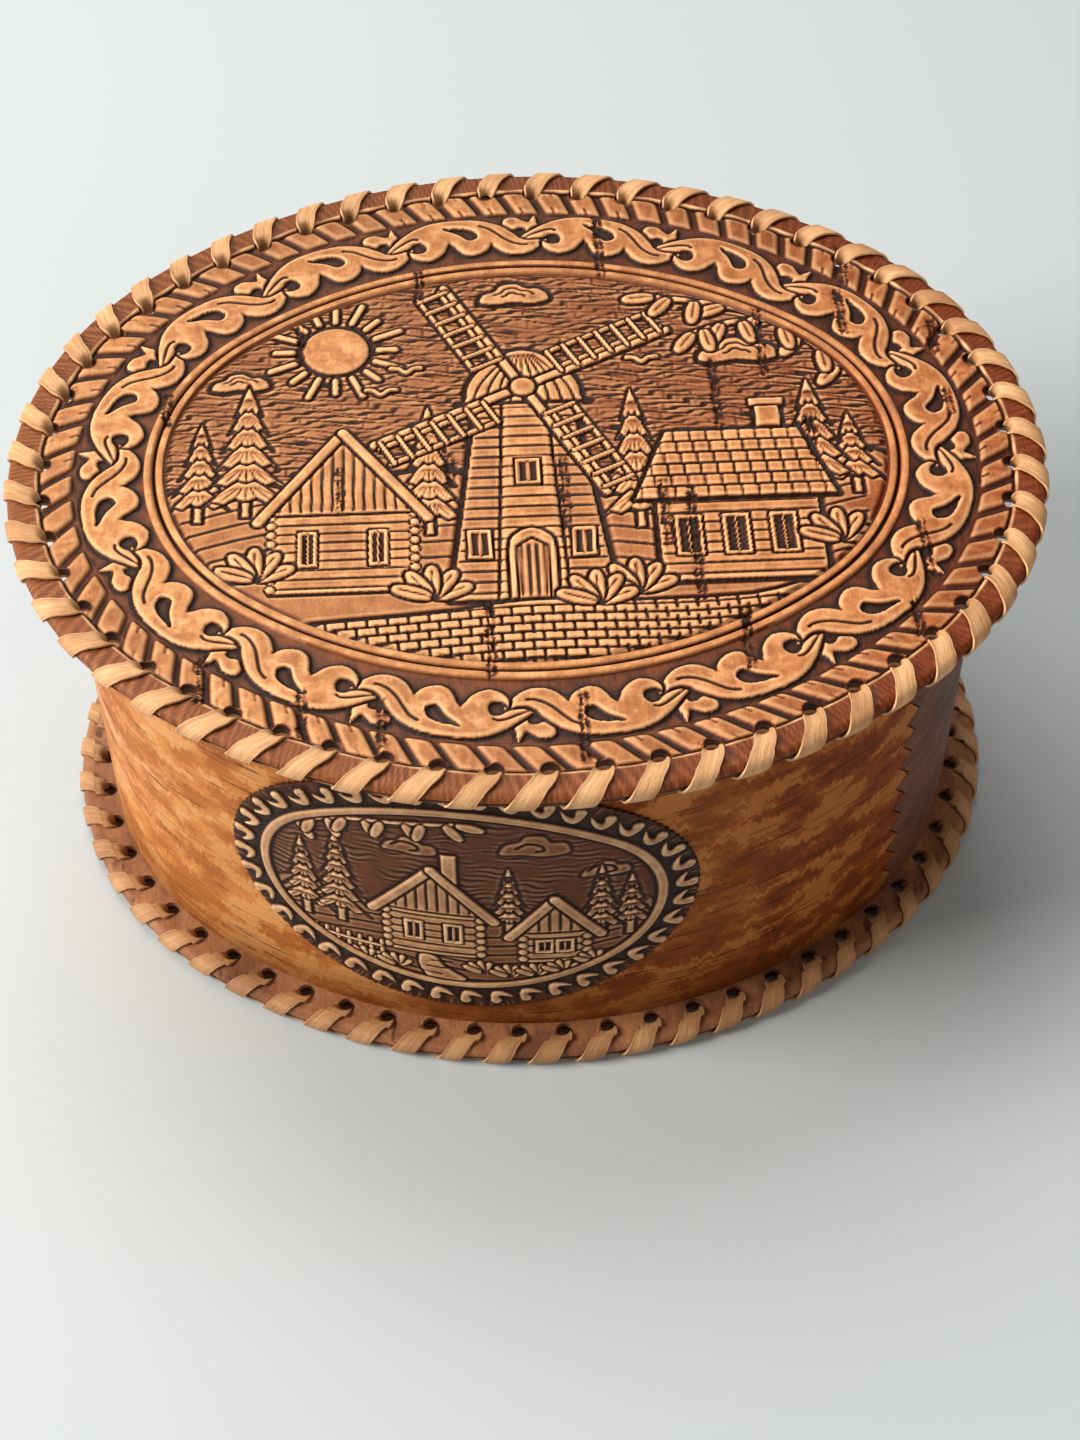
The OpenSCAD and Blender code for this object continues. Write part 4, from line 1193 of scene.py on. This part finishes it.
def picture_carving():
    """The picture in the middle: a windmill between log cabins and firs under a sky of level cuts."""
    steps = np.arange(-71, 71.1, CARVING_STEP), np.arange(-53.4, 53.5, CARVING_STEP)
    carving = Carving(*steps, LID_GROUND)
    carving.height = sky(carving.x[None, :], carving.y[:, None])
    # the hills
    hill = [(-72, -12), (-55, -5), (-38, -9), (-20, -3), (0, -8), (22, -4), (42, -8), (60, -2), (72, -8)]
    carving.leave(curve([*hill, (72, -56), (-72, -56)], True, 4), -0.28, 1.6, 2.2)
    field = np.array([(-66, -15), (-45, -10), (-20, -14), (10, -11), (40, -15), (64, -10)])
    for k in range(5):
        carving.cut(curve(field - (0, 4 * k), False), 0.5, 0.3)
    # sun, clouds and birds
    for k in range(16):
        ray = np.outer((8.6, 12 + k % 2 * 2), (np.cos(k * np.pi / 8), np.sin(k * np.pi / 8)))
        carving.ridge(ray + SUN, 1.5, -0.05, 0.8)
    carving.leave(rounded(*SUN, 6.8, 6.8, 24), 0, 2.4, 1.2)
    cloud = np.array([
        (-9, 0), (-8, 3), (-5, 4.2), (-3, 6.6), (1, 7.2), (4, 5.4), (7, 5.2), (9.5, 3), (9.5, 0.4), (5, -0.8),
        (0, -0.2), (-5, -1),
    ])
    for cx, cy, size in ((-1, 44, 0.75), (43, 25, 0.85), (-56, 21, 0.6)):
        carving.leave(curve(cloud * size + (cx, cy), True, 4), -0.05, 1.6, 1.6)
        for k in (0.35, 0.62):
            carving.cut(curve(cloud[1:8] * size * k + (cx, cy + 0.6), False, 4), 0.5, 0.4)
    bird = curve([(-3, 1.4), (-1.4, 1.2), (0, 0), (1.4, 1.2), (3, 1.4)], False, 3)
    for place in ((-23, 24), (-28, 18), (24, 25)):
        carving.ridge(bird + place, 1.0, 0, 0.8)
    # firs behind the houses, and the windmill
    for tree in (
        (-63, -15, 12, 12, 5), (-54, -14, 22, 17, 6), (63, -13, 9, 12, 4),
        (56, -12, 19, 15, 5), (-19, -20, 15, 14, 6), (21, -20, 18, 15, 6),
    ):
        fir(carving, *tree)
    windmill(carving)
    # log cabins at both sides
    cabin(carving, -49, -22, -34, -14, 7)
    walls = box(24, -34, 55, -12)
    carving.leave(walls, -0.1, 0.8, 1.8)
    carving.lines(walls, 0, 2.6, 0.36, 0.45, 0)
    for k in range(3):
        window(carving, 27 + 9 * k, -28, 5.4, 10.5)
    carving.leave(box(45, 2, 50, 13), 0, 0.6, 1.2)
    carving.leave(box(44, 11.4, 51, 13.4), 0.05, 0.5, 0.5)
    carving.leave([(20, -13), (59, -13), (53, 5), (27, 5)], 0.03, 1.0, 1.6)
    for k in range(6):
        low = -13 + 3 * k
        carving.cut([(20 + 1.1 * k, low), (59 - k, low)], 0.45, 0.45)
        for u in np.arange(21.5 + 1.1 * k + (k % 2) * 1.6, 58 - k, 3.2):
            carving.cut([(u, low), (u, low + 3)], 0.4, 0.36)
    # a bank of round stones along the foot of the picture
    bank = [(-56, -44), (-40, -41.5), (-20, -40), (0, -37.5), (20, -38.5), (40, -38), (56, -36)]
    carving.leave(curve([*bank, (56, -60), (-56, -60)], True, 4), -0.05, 1.2, 1.4)
    course = np.array([(-56, -3), (-30, -1.2), (0, 0.6), (30, 0), (56, 2)])
    for k in range(8):
        low = -39.5 - 2.1 * k
        carving.cut(curve(course + (0, low), False, 4), 0.5, 0.5)
        for u in np.arange(-54 + (k % 2) * 1.9, 54, 3.8):
            lift = -3 * (u / 56) ** 2 * (u < 0) + 0.02 * u + 0.4
            carving.cut([(u, low + lift), (u + 0.2, low + lift - 2.1)], 0.45, 0.5)
    # bushes in front of the cabins and a birch branch that hangs in from the right
    for bx, by in ((-52, -30), (-19, -36), (19, -36), (58, -25), (11.5, -38.5)):
        for heading in (20, 55, 90, 125, 160):
            veined(carving, bx, by, 8.2, heading, 3.4, 1.2, 0.7, 6.4, (0.35, 0.35))
    for branch in ([(64, 20), (57, 31), (45, 39.5), (28, 44)], [(50, 36.5), (42, 35.5), (35, 33)]):
        carving.ridge(curve(branch, False, 4), 1.3, -0.02, 0.9)
    for lx, ly, heading in (
        (63, 22, -130), (60, 27, -85), (56, 31, -125), (53, 34, -80), (48, 37, -120), (45, 36, -75), (41, 35.5, -115),
        (37, 34, -80), (35, 33, -125), (42, 40.5, -160), (36, 42.4, -100), (31, 43.6, -130), (28, 44, -175),
    ):
        veined(carving, lx, ly, 7.0, heading, 3.2, 1.2, 0.9, 5, (0.32, 0.3))
    return carving


def lid_picture():
    """The inner part: a square grid bent to the oval inside the double line, with the carved picture
    as its height."""
    carving = picture_carving()
    disc_x, disc_y = disc_grid(270, 350)
    share = np.hypot(disc_x, disc_y)
    half_length = RING.end_x + RING.end_radius - RING_INSIDE
    half_width = RING.side_radius - RING.side_y - RING_INSIDE
    x, y = disc_x * half_length, disc_y * half_width
    for _ in range(4):
        # the ellipse's edge is drawn to the ring's four arcs, and places inside follow by their share
        edge_x, edge_y = x / np.maximum(share, 1e-6), y / np.maximum(share, 1e-6)
        pull = 1 + 0.98 * (RING.place(edge_x, edge_y)[1] - RING_INSIDE) / np.hypot(edge_x, edge_y)
        x, y = x * pull, y * pull
    border = eased((1 - share) * half_width / 0.7)
    height = LID_GROUND + (carving.at(carving.height, x, y) - LID_GROUND) * border
    hollow = carving.at(shaded(carving.height, 4, [(11, 0.5), (24, 0.3)]), x, y)
    relief = 1 + height / -LID_GROUND
    height, hollow, relief = lid_values(x, y, np.minimum(height, 0.1), hollow, relief)
    top = np.stack([x, y, LID_TOP + height], -1)
    foot = top * (1, 1, 0) + (0, 0, LID_TOP - FACE_THICK)
    return carved_sheet("lid_picture", top, foot, relief, hollow)


lid_bark = carved_bark("lid_bark", LID_COLOURS)
for piece in (lid_rim(), lid_scroll(), lid_picture()):
    piece.data.materials.append(lid_bark)
    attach(piece, "lid")
    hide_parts("lid_panel")


# ---- Lid lacing ----
# Four strips like those on the base, in paler bark, whipped through the lid's 55 holes. Each turn
# crosses the plain rim, folds round its edge, runs back below and comes up in the next hole.
LID_SEED = 80
LID_STRIP = strip_bark("lid_strip_bark", (0.82, 0.475, 0.22), (0.60, 0.285, 0.11), (0.32, 0.12, 0.036))
for number in range(1, STRIPS + 1):
    strip = lacing(
        f"lid_strip_{number}", number, LID_HOLES, LID_PHASE, LID_HOLE_INSET,
        LID_HOLE_INSET, LID_TOP - RIM_THICK / 2, LID_SEED + number,
    )
    strip.data.materials.append(LID_STRIP)
    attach(strip, "lid")
    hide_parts(f"lid_lace_{number}")


# ---- Floor, light and camera ----
# A pale table top, soft daylight from the left and behind, and a weak fill from the right. The camera
# looks down at the box from the front through a long lens, as in the photograph.
CAMERA_PLACE = (-0.01313, -0.35621, 0.44855)
CAMERA_YAW, CAMERA_ELEVATION, CAMERA_ROLL = np.radians((-2.477, 50.941, -0.273))
LENS = 65
SENSOR = 36
TABLE_HALF = 3.0
FLOOR_GREY = (0.52, 0.545, 0.54)
DAYLIGHT = (0.80, 0.83, 0.83, 1)
DAYLIGHT_STRENGTH = 0.22


def table():
    """The plain table top that the box stands on."""
    mesh = bpy.data.meshes.new("table")
    corners = [(x * TABLE_HALF, y * TABLE_HALF, 0) for x, y in ((-1, -1), (1, -1), (1, 1), (-1, 1))]
    mesh.from_pydata(corners, [], [(0, 1, 2, 3)])
    piece = bpy.data.objects.new("table", mesh)
    bpy.context.scene.collection.objects.link(piece)
    material, tree, shader = finished("table", 0.6)
    feed(tree, shader.inputs, {"Base Color": FLOOR_GREY})
    mesh.materials.append(material)


def placed(name, data, place, back, roll=0.0):
    """A lamp or camera at a place, which looks away from back. Its X axis is level before the roll."""
    back = back / np.linalg.norm(back)
    level = np.cross((0, 0, 1), back)
    level = level / np.linalg.norm(level)
    upright = np.cross(back, level)
    turned = np.eye(4)
    turned[:3, 0] = np.cos(roll) * level + np.sin(roll) * upright
    turned[:3, 1] = np.cos(roll) * upright - np.sin(roll) * level
    turned[:3, 2], turned[:3, 3] = back, place
    piece = bpy.data.objects.new(name, data)
    piece.matrix_world = Matrix(turned.tolist())
    bpy.context.scene.collection.objects.link(piece)
    return piece


table()
for name, place, target, size, watts, colour in (
    ("window", (-1.2, -0.17, 0.85), (0, 0, 0.06), 0.7, 28.5, (1.0, 0.985, 0.96)),
    ("ceiling", (-0.2, 0.55, 1.1), (0, 0, 0.05), 0.8, 10.0, (1, 1, 1)),
    ("fill", (0.7, -0.8, 0.5), (0, 0, 0.04), 0.8, 2.2, (1.0, 0.97, 0.94)),
):
    light = bpy.data.lights.new(name, "AREA")
    light.energy, light.size, light.color = watts, size, colour
    placed(name, light, place, np.subtract(place, target))
world = bpy.data.worlds.new("room")
world.use_nodes = True
background = world.node_tree.nodes["Background"]
background.inputs[0].default_value = DAYLIGHT
background.inputs[1].default_value = DAYLIGHT_STRENGTH
bpy.context.scene.world = world

level = np.cos(CAMERA_ELEVATION)
back = np.array([np.sin(CAMERA_YAW) * level, -np.cos(CAMERA_YAW) * level, np.sin(CAMERA_ELEVATION)])
camera = placed("camera", bpy.data.cameras.new("camera"), CAMERA_PLACE, back, CAMERA_ROLL)
camera.data.lens, camera.data.sensor_width, camera.data.clip_start = LENS, SENSOR, 0.01
bpy.context.scene.camera = camera
bpy.context.scene.view_settings.view_transform = "Standard"
